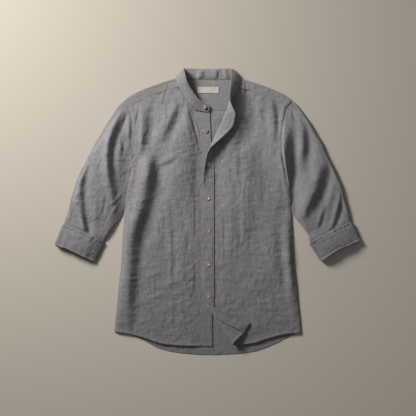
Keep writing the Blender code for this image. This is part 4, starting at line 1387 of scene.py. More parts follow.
@dataclass(kw_only=True)
class Front(Cloth):
    """One front, hem to shoulder and side seam to placket. Its coordinates are its plan before it is turned.

    The neck is the share of the width at the neck point. The rows are spread over parts of the length, with
    the underarm and the break, below which the placket is straight, at the ends of parts. The rises are the
    edges near which the front stands up, and the chest is how far in the sleeve's seam lifts it.
    """

    side: int
    neck: float
    hem: tuple
    neck_edge: tuple
    seam: tuple
    seam_level: float
    folds: tuple
    creases: tuple
    rises: tuple
    seed: int
    parts: int = 28
    underarm_part: int = 16
    break_part: int = 19
    break_y: float = 150 * MM
    level_over_back: float = 5.6 * MM
    lowest: float = 1.6 * MM
    side_level: float = 1.15 * MM
    side_roll: float = 9 * MM
    tuck: float = 1.8 * MM
    drop: float = 0.95 * MM
    hem_width: float = 6.5 * MM
    hem_stitched: float = 5.7 * MM
    arm_stitched: float = 5.4 * MM
    chest: float = 34.0 * MM

    def shares(self) -> Array:
        """Shares of the width at the columns, close together at the side and with one on the neck point."""
        side = np.array([0.0, 0.004, 0.01, 0.017, 0.024, 0.031, 0.04])
        return np.concatenate([side, np.linspace(0.05, self.neck, 62), np.linspace(self.neck, 1.0, 30)[1:]])

    def rows(self) -> Array:
        """Shares of the length at the rows, close together over the hem."""
        hem = np.array([0, 0.03, 0.07, 0.12, 0.17, 0.21, 0.25, 0.3, 0.36, 0.45, 0.6, 0.8]) / self.parts
        return np.concatenate([hem, np.linspace(1 / self.parts, 1, 252)])

    def shoulder_seam(self) -> Array:
        """Finds the seam in front of the shoulder.

        Returns:
            Its points in plan, armhole to neck, in millimetres.
        """
        shoulder = np.array(SHOULDER[::-1], float)
        run = np.gradient(shoulder, axis=0)
        inward = unit(joined(run[:, 1], -run[:, 0]))
        seam = shoulder + inward * np.sign(-inward[:, 1:]) * (Yoke.wrap + SEAM_GAP) / MM
        seam[:, 0] = CENTRE_X / MM + self.side * seam[:, 0]
        seam[-1] = self.neck_edge[0][:2]
        return seam

    def plan(self) -> Array:
        """Lays the front out.

        Returns:
            Points in plan, hem to shoulder and side to placket.
        """
        shares, rows = self.shares(), self.rows()
        over = along(self.shoulder_seam(), np.clip(shares / self.neck, 0, 1))
        down = along(np.array(self.neck_edge)[:, :2], np.clip((shares - self.neck) / (1 - self.neck), 0, 1))
        top = np.where((shares <= self.neck)[:, None], over, down) * MM
        bottom = along(self.hem[:: -self.side], shares) * MM
        break_at, underarm_at = self.break_part / self.parts, self.underarm_part / self.parts
        y_seam = np.interp(rows, (0, break_at, 1), (bottom[-1, 1], self.break_y, top[-1, 1]))
        y_side = np.interp(rows, (0, underarm_at, 1), (bottom[0, 1], UNDERARM_Y, ARMHOLE_TOP_Y))
        outer = joined(CENTRE_X + self.side * side_half(y_side), y_side)
        outer[0], outer[-1] = bottom[0], top[0]
        inner = joined(by_first(self.seam, y_seam)[:, 0], y_seam)
        return patch((outer, inner), bottom, top, shares, rows, 3)

    def from_side(self, x: Array, y: Array) -> Array:
        """Distance in from the side seam or the armhole."""
        return np.maximum(side_half(y) - np.abs(x - CENTRE_X), 0.0)

    def from_hem(self, x: Array, y: Array) -> Array:
        """Distance up from the hem."""
        return np.maximum(y - by_first(self.hem, x)[..., 0], 0.0)

    @staticmethod
    def loose(edges: tuple[Array, Array, Array], held: tuple, least: float) -> Array:
        """Share of its folds that the cloth keeps, held this many millimetres in from its edges."""
        seam, side, hem = (ease(0, reach * MM, distance) for reach, distance in zip(held, edges))
        return seam * side * (least + (1 - least) * hem)

    def level(self, x: Array, y: Array) -> Array:
        """Finds how high the cloth lies: folds, creases, gathers at the seams, and the side rolled down.

        Args:
            x, y: Places in plan.

        Returns:
            The height of the middle of the cloth.
        """
        seam_x = by_first(self.seam, y)[..., 0]
        from_seam, from_side, from_hem = np.abs(x - seam_x), self.from_side(x, y), self.from_hem(x, y)
        edges = (from_seam, from_side, from_hem)
        armhole = ease(UNDERARM_Y - 28 * MM, UNDERARM_Y, y)
        base = self.seam_level + (self.level_over_back - self.seam_level) * ease(0, 30 * MM, from_seam)
        base += (armhole_level(y, self.side) - base) * armhole * (1 - ease(0, self.chest, from_side))
        folds = self.loose(edges, (34, 13, 40), 0.3) * relief(x, y, self.folds)
        fine = relief(x, y, self.creases) + crumple(x, y, self.seed)
        level = softly_above(base + folds + self.loose(edges, (9, 11, 14), 0.35) * fine, self.lowest)
        level += 0.32 * MM * pucker(from_seam, y, 4.6 * MM, 91 + self.seed)
        beside_arm = MM * (1.1 * groove(from_side - 8 * MM, 6 * MM) - 1.3 * groove(from_side, 3 * MM))
        sewn_arm = sewn(from_side, y, (0.75, 7, 95 + self.seed), (0.25, self.arm_stitched / MM, 1.3))
        level += armhole * (beside_arm + sewn_arm)
        level += 0.9 * MM * groove(from_hem - 2.5 * MM, 3 * MM)
        level += sewn(from_hem, x, (0.3, 6, 97 + self.seed), (0.35, self.hem_stitched / MM, 1.2))
        level += risen(x, y, self.rises)
        level -= self.drop * ease(0, self.tuck * 0.6, np.maximum(self.side * (seam_x - x), 0))
        rolled = 1 - ease(UNDERARM_Y - 30 * MM, UNDERARM_Y, y)
        round_off = np.sqrt(1 - (1 - np.clip(from_side / self.side_roll, 0, 1)) ** 2)
        return level - rolled * (level - self.side_level) * (1 - round_off)

    def at(self, a: Array, b: Array) -> Array:
        """Places in space of points in plan."""
        return joined(a, b, self.level(a, b))

    def walls(self, a: Array, b: Array) -> Array:
        """Finds how thick the cloth is: thicker over its turned hem and along the armhole.

        Args:
            a, b: Places in plan.

        Returns:
            The thickness at each place.
        """
        hem = 1 - ease(self.hem_width, self.hem_width + 1.2 * MM, self.from_hem(a, b))
        arm = 1 - ease(self.arm_stitched + 0.4 * MM, self.arm_stitched + 1.6 * MM, self.from_side(a, b))
        arm *= ease(UNDERARM_Y, UNDERARM_Y + 12 * MM, b)
        return self.wall * (1 + np.maximum(1.2 * hem, 0.7 * arm))

    def lines(self) -> tuple[Array, Array]:
        """Adds one column under the placket and one row under the yoke and the collar to the plan.

        Returns:
            The two coordinates of the points in plan.
        """
        plan = self.plan()
        inner = plan[:, -1:] + (-self.side * self.tuck, 0)
        plan = np.concatenate([plan, inner], axis=1)
        plan = np.concatenate([plan, beside(plan[-1], -self.side * self.tuck)[None]])
        if self.side > 0:
            plan = plan[:, ::-1]
        return plan[..., 0], plan[..., 1]

    def grid(self, a: Array, b: Array) -> Array:
        """Lays the whole front, with the row under the yoke and the collar lowered.

        Args:
            a, b: The points in plan.

        Returns:
            The points in space.
        """
        points = self.at(a, b)
        points[-1, :, 2] -= self.drop
        return points

    def hem_line(self) -> tuple[Array, Array]:
        """The stitches of the hem, in plan."""
        x = np.linspace(self.hem[0][0] + 4, self.hem[-1][0] - 2, 200) * MM
        return x, by_first(self.hem, x)[:, 0] + self.hem_stitched

    def seams(self) -> list[Line]:
        """Finds the stitches of the hem and of the armhole.

        Returns:
            The two lines.
        """
        y = np.linspace(UNDERARM_Y + 4 * MM, ARMHOLE_TOP_Y - 3 * MM, 160)
        x = CENTRE_X + self.side * (side_half(y) - self.arm_stitched)
        return [self.seam_line(*self.hem_line()), self.seam_line(x, y)]


@dataclass(kw_only=True)
class Corner:
    """The slanting roll over which the bottom corner of the right front is turned back.

    It gets wider from its start to its end. What is turned back slides along it and settles on the front.
    """

    start: Pair = (-4 * MM, -240 * MM)
    end: Pair = (75 * MM, -358 * MM)
    radius: Pair = (4.6 * MM, 7.2 * MM)
    slide: float = 0.23
    settle: float = 60 * MM
    settled: float = 0.3

    def turn(self, points: Array) -> Array:
        """Turns what lies beyond the roll back over the front.

        Args:
            points: Points of the flat cloth.

        Returns:
            The points where they come to lie.
        """
        start = np.array(self.start)
        run = np.array(self.end) - start
        length = np.linalg.norm(run)
        run /= length
        out = np.array([run[1], -run[0]])
        t, s = (points[..., :2] - start) @ run, (points[..., :2] - start) @ out
        radius = self.radius[0] + (self.radius[1] - self.radius[0]) * np.clip(t / length, 0.0, 1.1)
        angle = np.clip(s / radius, 0.0, math.pi)
        past = np.maximum(s - math.pi * radius, 0.0)
        settled = 1.0 - (1.0 - self.settled) * ease(0.0, self.settle, past)
        beyond, slid = radius * np.sin(angle) - past, t + self.slide * past
        plan = start + slid[..., None] * run + beyond[..., None] * out
        lift = radius * (1.0 - np.cos(angle)) * settled
        moved = np.concatenate([plan, (points[..., 2] + lift)[..., None]], axis=-1)
        return np.where((s > 0)[..., None], moved, points)


@dataclass(kw_only=True)
class RightFront(Front):
    """The upper front, with its bottom corner turned back."""

    corner: Corner
    turned_x: float = 120 * MM

    def at(self, a: Array, b: Array) -> Array:
        """Places in space of points in plan, the corner turned."""
        return self.corner.turn(super().at(a, b))

    def pattern(self, a: Array, b: Array, points: Array) -> Array:
        """The front before its corner was turned."""
        return joined(a, b)

    def seams(self) -> list[Line]:
        """Finds the stitches of the hem, on both sides where it is turned back, and of the armhole.

        Returns:
            The three lines.
        """
        hem, armhole = super().seams()
        x, y = self.hem_line()
        turned = x < self.turned_x
        return [hem, self.seam_line(x[turned], y[turned], -1.0), armhole]


@dataclass(kw_only=True)
class ButtonPlacket(Cloth):
    """Placket of the left front, flat under the other. Its coordinates are a share of its width, and y."""

    name: str = "button_placket_band"
    node: str = "button_placket"
    rests_on: tuple[str, ...] = ("back_panel", "left_front_panel")
    start: Pair = (7.9, 4.1)
    wall: float = 1.1 * MM
    rim: int = 4
    level: float = 3.05 * MM
    width: float = 32 * MM
    stitched: Pair = (1.8 * MM, 30 * MM)

    def lines(self) -> tuple[Array, Array]:
        """Columns across the band and rows down it."""
        rows = np.concatenate([np.linspace(-369, 140, 120), np.linspace(142, 273, 60)]) * MM
        return np.meshgrid(np.linspace(0, 1, 15), rows)

    def at(self, a: Array, b: Array) -> Array:
        """Finds places in space.

        Args:
            a: Shares of the width, from the seam to the free edge.
            b: The places' y.

        Returns:
            The places.
        """
        seam = by_first(LEFT_PLACKET_SEAM, b)[..., 0] + 0.4 * MM
        edge = by_first(LEFT_PLACKET_EDGE, b)[..., 0]
        x = seam * (1 - a) + edge * a
        near = np.maximum(np.minimum(x - seam, edge - x), 0)
        up = 0.3 * crumple(x, b, 3) * ease(0, 6 * MM, near)
        up += sewn(near, b, (0.25, 5, 61), (0.15, self.stitched[0] / MM, 0.9))
        return joined(x, b, self.level + up)

    def seams(self) -> list[Line]:
        """Stitches along both edges, where the other placket leaves them bare."""
        y = np.linspace(110, 268, 120) * MM
        return [self.seam_line(inset / self.width, y) for inset in self.stitched]


@dataclass(kw_only=True)
class ButtonholePlacket(Cloth):
    """Placket of the right front: turned open above the break, flat below it, turned back at the hem.

    Its coordinates are a share of its width, from its free edge to its seam, and y along the seam. The holes
    are the heights of the fastened buttonholes, and the open one is higher up.
    """

    name: str = "buttonhole_placket_band"
    node: str = "buttonhole_placket"
    rests_on: tuple[str, ...] = ("button_placket_band", "right_front_panel")
    start: Pair = (9.7, 5.3)
    wall: float = 1.6 * MM
    rim: int = 4
    level: float = 5.8 * MM
    table_level: float = 5.5 * MM
    width: float = 33 * MM
    stitched: Pair = (1.9 * MM, 31.1 * MM)
    holes: tuple[float, ...] = (131, 38, -52, -144, -230)
    open_hole: float = 226 * MM
    corner: Corner

    def lines(self) -> tuple[Array, Array]:
        """Columns across the band, and rows that are closer where it is turned."""
        rows = (np.linspace(-376, -210, 70), np.linspace(-208, 60, 80), np.linspace(62, 278.4, 112))
        return np.meshgrid(np.linspace(0, 1, 21), np.concatenate(rows) * MM)

    def form(self, a: Array, b: Array) -> Array:
        """Finds places in space without the fine unevenness.

        Args:
            a: Shares of the width.
            b: The places' y along the seam.

        Returns:
            The places.
        """
        edge_x, edge_y, edge_z, lean, drop, run, climb = np.moveaxis(by_first(LAPEL, b), -1, 0)
        rise = np.array(LAPEL_RISE, float) * MM
        lift = smooth(rise[:, 1], rise[:, 2:], b)[..., 0]
        seam_x = by_first(RIGHT_PLACKET_SEAM, b)[..., 0] - 0.5 * MM
        seam = joined(seam_x - climb / 2.4, b, self.level + lift)
        edge = joined(edge_x, edge_y, edge_z + self.level - self.table_level)
        near_edge, near_seam = edge + joined(lean, 0, -drop), seam + joined(-run, 0, climb)
        s = a[..., None]
        r = 1 - s
        upper = r**3 * edge + 3 * r * r * s * near_edge + 3 * r * s * s * near_seam + s**3 * seam
        flat_y = LAPEL[0][0] * MM
        edge_y = np.interp(b, (RIGHT_PLACKET_SEAM[0][0] * MM, flat_y), (FLAT_EDGE[0][0] * MM, flat_y))
        flat_edge = joined(by_first(FLAT_EDGE, edge_y)[..., 0], edge_y, self.level)
        lower = self.corner.turn(flat_edge * r + seam * s)
        return np.where((b > flat_y)[..., None], upper, lower)

    def at(self, a: Array, b: Array) -> Array:
        """Finds places in space, with gathers along both lines of stitches and waves in the turned corner.

        Args:
            a: Shares of the width.
            b: The places' y along the seam.

        Returns:
            The places.
        """
        across = a * self.width
        near = np.minimum(across, self.width - across)
        up = sewn(near, b + 0.05 * a, (0.4, 5, 67), (0.6, self.stitched[0] / MM, 1.2))
        up += 0.6 * crumple(across, b, 31) * ease(0, 7 * MM, near)
        turned = (1 - ease(-270 * MM, -240 * MM, b)) * ease(0, 5 * MM, near)
        up += 1.3 * MM * noise(b, across, 15 * MM, 60 * MM, 21) * turned
        return self.form(a, b) + facing(self.form, a, b) * up[..., None]

    def pattern(self, a: Array, b: Array, points: Array) -> Array:
        """The band before it was turned."""
        return joined(a * self.width, b)

    def seams(self) -> list[Line]:
        """Stitches along both edges, on both sides of the cloth."""
        y = np.linspace(-374, 273, 420) * MM
        return self.both_faces(np.array(self.stitched) / self.width, y)

    def buttonholes(self) -> list[Hole]:
        """Finds the worked buttonholes.

        Returns:
            The middle of each, the way it runs and the way it faces.
        """
        found = []
        for y in self.holes:
            centre, normal = self.seam_line(np.array([0.52]), y * MM)
            found.append((centre[0], np.array([0.0, 1.0, 0.0]), normal[0]))
        centres, normals = self.seam_line(0.5, np.array([0, 4 * MM]) + self.open_hole)
        found.append((centres[0], unit(centres[1] - centres[0]), normals[0]))
        return found


@dataclass(kw_only=True)
class Collar(Cloth):
    """Collar band. Its coordinates are a share of its width, from its seam up, and a share of its length."""

    name: str = "mandarin_collar"
    node: str = "collar_band"
    held: Held = Held.FOLDED
    rests_on: tuple[str, ...] = ("shoulder_yoke", "left_front_panel", "right_front_panel")
    start: Pair = (11.9, 6.1)
    wall: float = 1.3 * MM
    rim: int = 5
    bow: float = 2.0 * MM
    length: float = 470 * MM
    width: float = 28 * MM
    stitched: Pair = (2.2 * MM, 25.8 * MM)

    def lines(self) -> tuple[Array, Array]:
        """Columns up the band and rows along it."""
        return np.meshgrid(np.linspace(0, 1, 15), np.linspace(0, 1, 300))

    def sections(self, b: Array) -> Array:
        """Reads the table of the band.

        Args:
            b: Shares of its length.

        Returns:
            The seam's place in space, then the top edge's, at these shares.
        """
        table = np.array(COLLAR, float)
        # 4 mm more for each section, so that rows also fall where the sections are close together
        place = travelled((table[:, :3] + table[:, 3:]) / 2) + 4 * np.arange(len(table))
        return smooth(place / place[-1], table, b) * MM

    def form(self, a: Array, b: Array) -> Array:
        """Places in space, straight up from the seam to the top edge."""
        section = self.sections(b)
        return section[..., :3] * (1 - a[..., None]) + section[..., 3:] * a[..., None]

    def at(self, a: Array, b: Array) -> Array:
        """Finds places in space, bowed where the band stands, with gathers along both edges.

        Args:
            a, b: Shares of the width and of the length.

        Returns:
            The places.
        """
        across, length, section = a * self.width, b * self.length, self.sections(b)
        upright = ease(4 * MM, 16 * MM, section[..., 5])
        near = np.minimum(across, self.width - across)
        up = sewn(near, length, (0.25, 5.5, 73), (0.15, self.stitched[0] / MM, 1.1))
        up += 0.35 * crumple(length, across, 17) * ease(0, 6 * MM, near)
        up = self.bow * upright * 4 * a * (1 - a) + (0.3 + 0.7 * upright) * up
        # where the band lies flat behind the neck it has waves across it and one deep fold
        lying = (1 - upright) * ease(0, 8 * MM, near)
        up -= lying * 2.2 * MM * np.maximum(noise(length, 0.2 * a, 13 * MM, 1, 19) + 0.2, 0)
        up -= lying * 3.0 * MM * groove(section[..., 3] - 51 * MM + 6 * MM * a, 4.5 * MM)
        return self.form(a, b) + facing(self.form, a, b) * up[..., None]

    def pattern(self, a: Array, b: Array, points: Array) -> Array:
        """The band laid straight, with its threads along it."""
        return joined(a * self.width, b * self.length)

    def seams(self) -> list[Line]:
        """Stitches along both edges, on both sides of the band."""
        return self.both_faces(np.array(self.stitched) / self.width, np.linspace(0.01, 0.985, 500))


@dataclass(kw_only=True)
class Tube(Cloth):
    """A flattened tube: its coordinates are a column round it, 0 to 1, and a share of its length.

    The columns start in the middle of the underside and go round by the outer edge. The side is -1 at the
    left and 1 at the right, and the thinning is the share of its height that it loses at one end of the cuff.
    """

    side: int
    thinning: float
    rests_on: tuple[str, ...] = ("floor",)
    closed: bool = True
    top_columns: int = 76
    turn_columns: int = 9
    bottom_columns: int = 34

    def around(self) -> tuple[Array, Array, Array]:
        """Lists the columns.

        Returns:
            The edge that each turns round, -1 outer, 1 inner or 0, how high round it, 0 below to 2 on top,
            and its share of the flat width.
        """
        turn = 1 + np.sin(np.linspace(-math.pi / 2, math.pi / 2, self.turn_columns))
        half = self.bottom_columns // 2
        under = np.linspace(0.5, 0, half, endpoint=False), np.linspace(1, 0.5, half, endpoint=False)[1:]
        top = np.linspace(0, 1, self.top_columns)[1:-1]
        below = (0, 0, under[0]), (0, 0, under[1])
        parts = (below[0], (-1, turn, 0), (0, 2, top), (1, turn[::-1], 1), below[1])
        return tuple(np.concatenate([joined(*part) for part in parts]).T)

    def shares(self, radius: Array, width: Array) -> tuple[Array, Array, Array, Array]:
        """Finds where the columns of each ring stand.

        Args:
            radius, width: Radius of the edges, and width, of each ring.

        Returns:
            The share of the width, how high round the edge, 0 to 2 radii, whether on top, and the share of
            the flat width.
        """
        edge, climb, value = (row[None] for row in self.around())
        lap = (radius / width)[:, None]
        turned = lap * (1 - np.sqrt(1 - (climb - 1) ** 2))
        flat = lap + (1 - 2 * lap) * value
        share = np.where(edge == 0, flat, np.where(edge < 0, turned, 1 - turned))
        return share, climb, (edge == 0) & (climb > 0), np.broadcast_to(value, share.shape)

    def cuff_corners(self) -> Array:
        """The cuff's corners in plan: outer and inner at the sleeve, then outer and inner at the hand."""
        corners = np.array(CUFFS[self.side], float).reshape(4, 2) * MM
        return joined(CENTRE_X + self.side * corners[:, 0], corners[:, 1])

    def flattened(self, share: Array) -> Array:
        """How much of its height a cuff keeps: less towards the end of it that lies further right."""
        end = np.clip(((share if self.side < 0 else 1 - share) - 0.7) / 0.3, 0, 1)
        return 1 - self.thinning * end**1.4

    def pattern(self, a: Array, b: Array, points: Array) -> Array:
        """The tube opened: round it from the middle of its underside, and along it."""
        round_it, down = travelled(points, 1), travelled(points.mean(axis=1, keepdims=True))
        return joined(round_it - round_it[:, -1:] / 2, down) + (14 + 3 * self.side, 7.7)


@dataclass(kw_only=True)
class Sleeve(Tube):
    """Sleeve: a flattened tube from the armhole into the rolled cuff.

    The skew moves the highest line of its puff: towards the outer edge below 1, towards the inner one above.
    """

    folds: tuple
    seed: int
    skew: float
    rings: int = 150
    hidden: int = 6
    low: float = 0.37 * MM
    lowest: float = 2.0 * MM
    cuff_lift: float = 2.7 * MM
    tuck: float = 2.6 * MM
    seam_reach: float = 72 * MM
    under_front: Pair = (2.4 * MM, 0.9 * MM)

    def sections(self) -> tuple[Array, Array]:
        """Reads the table of the sleeve, and adds its end inside the cuff.

        Returns:
            The table's columns at each ring, in millimetres, and the share of the visible length.
        """
        outer_top, inner_top, outer_low, inner_low = self.cuff_corners()
        ends = []
        for part in (-0.04, 0.35):
            outer = outer_top + (outer_low - outer_top) * part
            inner = inner_top + (inner_low - inner_top) * part
            across = unit(inner - outer) * self.tuck
            corners = np.concatenate([outer + across, inner - across])
            corners[[0, 2]] = self.side * (corners[[0, 2]] - CENTRE_X)
            ends.append((*corners / MM, 0, 4.4, 1.5))
        place = np.linspace(0, 1, self.rings)
        shown = along((*SLEEVE, ends[0]), place)
        hidden = shown[-1] + (np.array(ends[1]) - shown[-1]) * np.linspace(0, 1, self.hidden + 1)[1:, None]
        return np.concatenate([shown, hidden]), np.concatenate([place, np.ones(self.hidden)])

    def lines(self) -> tuple[Array, Array]:
        """Numbers of the columns and the rings."""
        return np.meshgrid(np.arange(len(self.around()[0])), np.arange(self.rings + self.hidden))

    def armhole(self, share: Array) -> Array:
        """Points in plan along the armhole, from the shoulder, 0, to the underarm, 1."""
        y = ARMHOLE_TOP_Y + (UNDERARM_Y - ARMHOLE_TOP_Y) * share
        return joined(CENTRE_X + self.side * (side_half(y) + 0.4 * MM), y)

    def grid(self, a: Array, b: Array) -> Array:
        """Lays the sleeve.

        Args:
            a, b: Numbers of the columns and of the rings.

        Returns:
            Points in space, ring by ring.
        """
        table, place = self.sections()
        ox, oy, ix, iy, _, radius, puff = (table * MM).T
        sway = noise(place * 0.5, 0, 0.045, 1, 7 + self.seed) * 1.3 * MM
        sway *= ease(0.05, 0.2, place) * (1 - ease(0.9, 1, place))
        outer = joined(CENTRE_X + self.side * (ox + sway), oy)[:, None]
        inner = joined(CENTRE_X + self.side * ix, iy)[:, None]
        width = np.linalg.norm(inner - outer, axis=-1)
        share, climb, on_top, value = self.shares(radius, width[:, 0])
        # the rings take the curve of the armhole near it, and are straight further down
        s, ends = share[..., None], self.armhole(np.array([0.0, 1.0]))
        curve = self.armhole(share) - ends[0] * (1 - s) - ends[1] * s
        plan = outer * (1 - s) + inner * s + table[:, 4, None, None] * curve
        x, y, ring = plan[..., 0], plan[..., 1], place[:, None]
        in_cuff = ease(0.88, 1.0, ring)
        low = self.low + in_cuff * self.cuff_lift
        shape = np.sin(math.pi * np.clip(value, 0, 1) ** self.skew)
        top = low + 2 * radius[:, None] + puff[:, None] * shape
        seam = armhole_level(self.armhole(value)[..., 1], self.side) - 0.3 * MM
        from_armhole = np.linalg.norm(plan - plan[:1], axis=-1)
        top += (seam - top) * (1 - ease(0.0, self.seam_reach, from_armhole))
        turned = low + climb / 2 * (top - low)
        calm = ease(0, 9 * MM, np.minimum(value, 1 - value) * width)
        calm *= ease(0, 0.015, ring) * (1 - 0.85 * ease(0.96, 1.0, ring))
        fine = crumple(x * 0.8 + y * 0.3 * self.side, y, self.seed) * ease(0, 0.05, ring) * shape**0.3
        folded = softly_above(top + calm * relief(x, y, self.folds), self.lowest) + fine * (1 - 0.8 * in_cuff)
        height = np.where(on_top, folded, turned) * (1 - (1 - self.flattened(share)) * in_cuff)
        points = joined(x, y, height)
        points[0, climb[0] > 1.0] -= (self.side * self.under_front[0], 0, self.under_front[1])
        return points


@dataclass(kw_only=True)
class Cuff(Tube):
    """Rolled cuff: a thick flattened band round the end of the sleeve."""

    seed: int
    held: Held = Held.FOLDED
    wall: float = 2.1 * MM
    rim: int = 6
    length: float = 57 * MM
    radius: float = 7.1 * MM
    puff: float = 5.0 * MM
    bow: float = 3.0 * MM
    mouth: float = 6.0 * MM
    rounding: float = 5.0 * MM
    rings: int = 40
    stitched: Pair = (0.09, 0.91)

    def lines(self) -> tuple[Array, Array]:
        """Numbers of the columns, and the rings' shares of the length."""
        return np.meshgrid(np.arange(len(self.around()[0])), np.linspace(0, 1, self.rings))

    def drawn(self, share: Array, t: Array, width: Array, above: Array) -> Array:
        """Finds how far the cuff's ends are drawn up the sleeve.

        Args:
            share, t: Shares of the width and of the length.
            width: Width of each ring.
            above: 1 on the upper layer, 0 on the lower one.

        Returns:
            The distance: the bow of the upper end, round corners, the open mouth, and waves at both ends.
        """
        arch = np.sin(math.pi * np.clip(share, 0, 1))
        corner = np.maximum(1 - np.minimum(share, 1 - share) * width / self.rounding, 0) ** 2
        wave = noise(share * width, 0.3 * self.side, 17 * MM, 1, self.seed) * 1.1 * MM * above
        mouth = above * arch**0.4 if self.side < 0 else arch
        drawn = self.bow * (1 - t) * arch + self.mouth * t * t * mouth + wave * (2 * t - 1) ** 2
        return drawn + self.rounding * 0.8 * corner * (t**6 - (1 - t) ** 6)

    def grid(self, a: Array, b: Array) -> Array:
        """Lays all columns on rings at any shares of the length.

        Args:
            a: Numbers of the columns, which are not used.
            b: Shares of the length.

        Returns:
            Points in space, ring by ring.
        """
        outer_top, inner_top, outer_low, inner_low = self.cuff_corners()
        t = b[:, :1]
        outer = (outer_top * (1 - t) + outer_low * t)[:, None]
        inner = (inner_top * (1 - t) + inner_low * t)[:, None]
        width = np.linalg.norm(inner - outer, axis=-1)
        share, climb, on_top, value = self.shares(np.full(len(b), self.radius), width[:, 0])
        above = ease(0.5, 1.0, climb / 2)
        down = unit(outer_low - outer_top + inner_low - inner_top)
        s = share[..., None]
        plan = outer * (1 - s) + inner * s - down * self.drawn(share, t, width, above)[..., None]
        bulge = np.sin(math.pi * value) * np.sin(math.pi * (0.25 + 0.6 * t))
        thick = climb * self.radius + on_top * self.puff * bulge
        across, along_it = share * width, t * self.length
        from_end = np.minimum(along_it, self.length - along_it)
        up = 0.7 * crumple(across, along_it, self.seed)
        up += 0.35 * MM * noise(across, along_it, 13 * MM, 45 * MM, 5 + self.seed)
        up += 0.7 * MM * groove(from_end - 2 * MM, 2.2 * MM)
        up -= 0.6 * MM * groove(from_end - 5.5 * MM, 1.6 * MM)
        up += 1.0 * MM * pucker(along_it, across, 8 * MM, 15 + self.seed)
        if self.side > 0:
            up -= 1.8 * MM * groove(width - across - 7 * MM, 1.8 * MM)
        height = self.wall / 2 + 0.1 * MM + thick * self.flattened(share) + up * above
        return joined(plan[..., 0], plan[..., 1], height)

    def top_line(self, share: float) -> Line:
        """Finds a line round the upper layer.

        Args:
            share: The line's share of the cuff's length.

        Returns:
            Its points and the unit normals.
        """
        columns = np.arange(len(self.around()[0]))
        rows = self.grid(*np.meshgrid(columns, np.array([share - 0.02, share, share + 0.02])))
        normals = unit(np.cross(np.gradient(rows[1], axis=0), rows[2] - rows[0]))
        normals *= np.sign(normals[:, 2:].mean())
        first = self.bottom_columns // 2 + self.turn_columns // 2
        shown = slice(first, first + self.top_columns + self.turn_columns)
        return (rows[1] + normals * self.wall / 2)[shown], normals[shown]

    def seams(self) -> list[Line]:
        """Stitches beside both ends of the cuff."""
        return [self.top_line(share) for share in self.stitched]


# ---- Sewing ----


@dataclass
class Stitching:
    """Short threads that lie on the cloth, gathered into one piece."""

    name: str
    pitch: float = 2.7 * MM
    length: float = 2.0 * MM
    thickness: float = 0.36 * MM
    sides: int = 5
    hole_length: float = 14 * MM
    hole_pitch: float = 0.55 * MM
    # share of a thread's length, then height and radius there as shares of its thickness
    rings: tuple = ((0.0, -0.45, 0.3), (0.22, 0.2, 0.5), (0.78, 0.2, 0.5), (1.0, -0.45, 0.3))

    def __post_init__(self) -> None:
        """Starts with no threads."""
        self.points: list[Array] = []
        self.faces: list[Array] = []
        self.count = 0

    def add(self, starts: Array, ends: Array, normals: Array) -> None:
        """Adds threads, arched away from the cloth.

        Args:
            starts, ends: Where each thread starts and ends.
            normals: The way the cloth faces at each thread.
        """
        run = ends - starts
        across = np.cross(unit(run), normals)
        turn = np.linspace(0, 2 * math.pi, self.sides, endpoint=False)[:, None]
        ring = across[:, None] * np.cos(turn) + normals[:, None] * np.sin(turn)
        made = []
        for share, height, radius in self.rings:
            centre = starts + run * share + normals * height * self.thickness
            made.append(centre[:, None] + ring * radius * self.thickness)
        points = np.stack(made, axis=1).reshape(-1, 3)
        last = len(made) - 1
        each = np.arange(len(starts))[:, None, None] * len(made) * self.sides + self.count
        caps = np.stack([np.arange(self.sides)[::-1], np.arange(self.sides) + last * self.sides])
        for polygons in (grid_faces(len(made), self.sides, closed=True), caps):
            self.faces.append((polygons[None] + each).reshape(-1, polygons.shape[1]))
        self.points.append(points)
        self.count += len(points)

    def run(self, path: Array, normals: Array) -> None:
        """Adds one line of stitches.

        Args:
            path: Points of the line.
            normals: The way the cloth faces at each of them.
        """
        place = travelled(path)
        starts = np.arange(self.pitch / 2, place[-1] - self.length, self.pitch)

        def read(values: Array, at: Array) -> Array:
            """Values of the line at these lengths along it."""
            return joined(*(np.interp(at, place, values[:, k]) for k in range(3)))

        self.add(read(path, starts), read(path, starts + self.length), unit(read(normals, starts)))

    def buttonhole(self, centre: Array, along_it: Array, normal: Array) -> None:
        """Adds the close stitches on both sides of a buttonhole and the bars at its ends.

        Args:
            centre: Its middle.
            along_it: The way it runs.
            normal: The way the cloth faces.
        """
        across = np.cross(normal, along_it)
        steps = np.arange(-self.hole_length / 2, self.hole_length / 2, self.hole_pitch)[:, None]
        for hand in (-1, 1):
            starts = centre + along_it * steps + across * 0.25 * MM * hand
            self.add(starts, starts + across * 1.3 * MM * hand, np.tile(normal, (len(steps), 1)))
            bar = centre + along_it * hand * (self.hole_length / 2 + np.arange(3)[:, None] * 0.4 * MM)
            self.add(bar - across * 1.5 * MM, bar + across * 1.5 * MM, np.tile(normal, (3, 1)))

    def build(self, finish: Material, slot: Slot = Slot.LINEN) -> Object:
        """Makes the stitches as one object, on no solid of their own."""
        obj = add_mesh(self.name, np.concatenate(self.points), self.faces)
        return enter(obj, finish, slot)


# each piece of stitches, and the nodes of the cloth that it is sewn on
STITCHED = {
    "left_front_panel_stitches": ("left_front",),
    "right_front_panel_stitches": ("right_front",),
    "placket_stitches": ("buttonhole_placket", "button_placket"),
    "collar_stitches": ("collar_band",),
    "yoke_stitches": ("yoke",),
    "left_cuff_stitches": ("cuff_left",),
    "right_cuff_stitches": ("cuff_right",),
    "back_hem_stitches": ("back",),
}


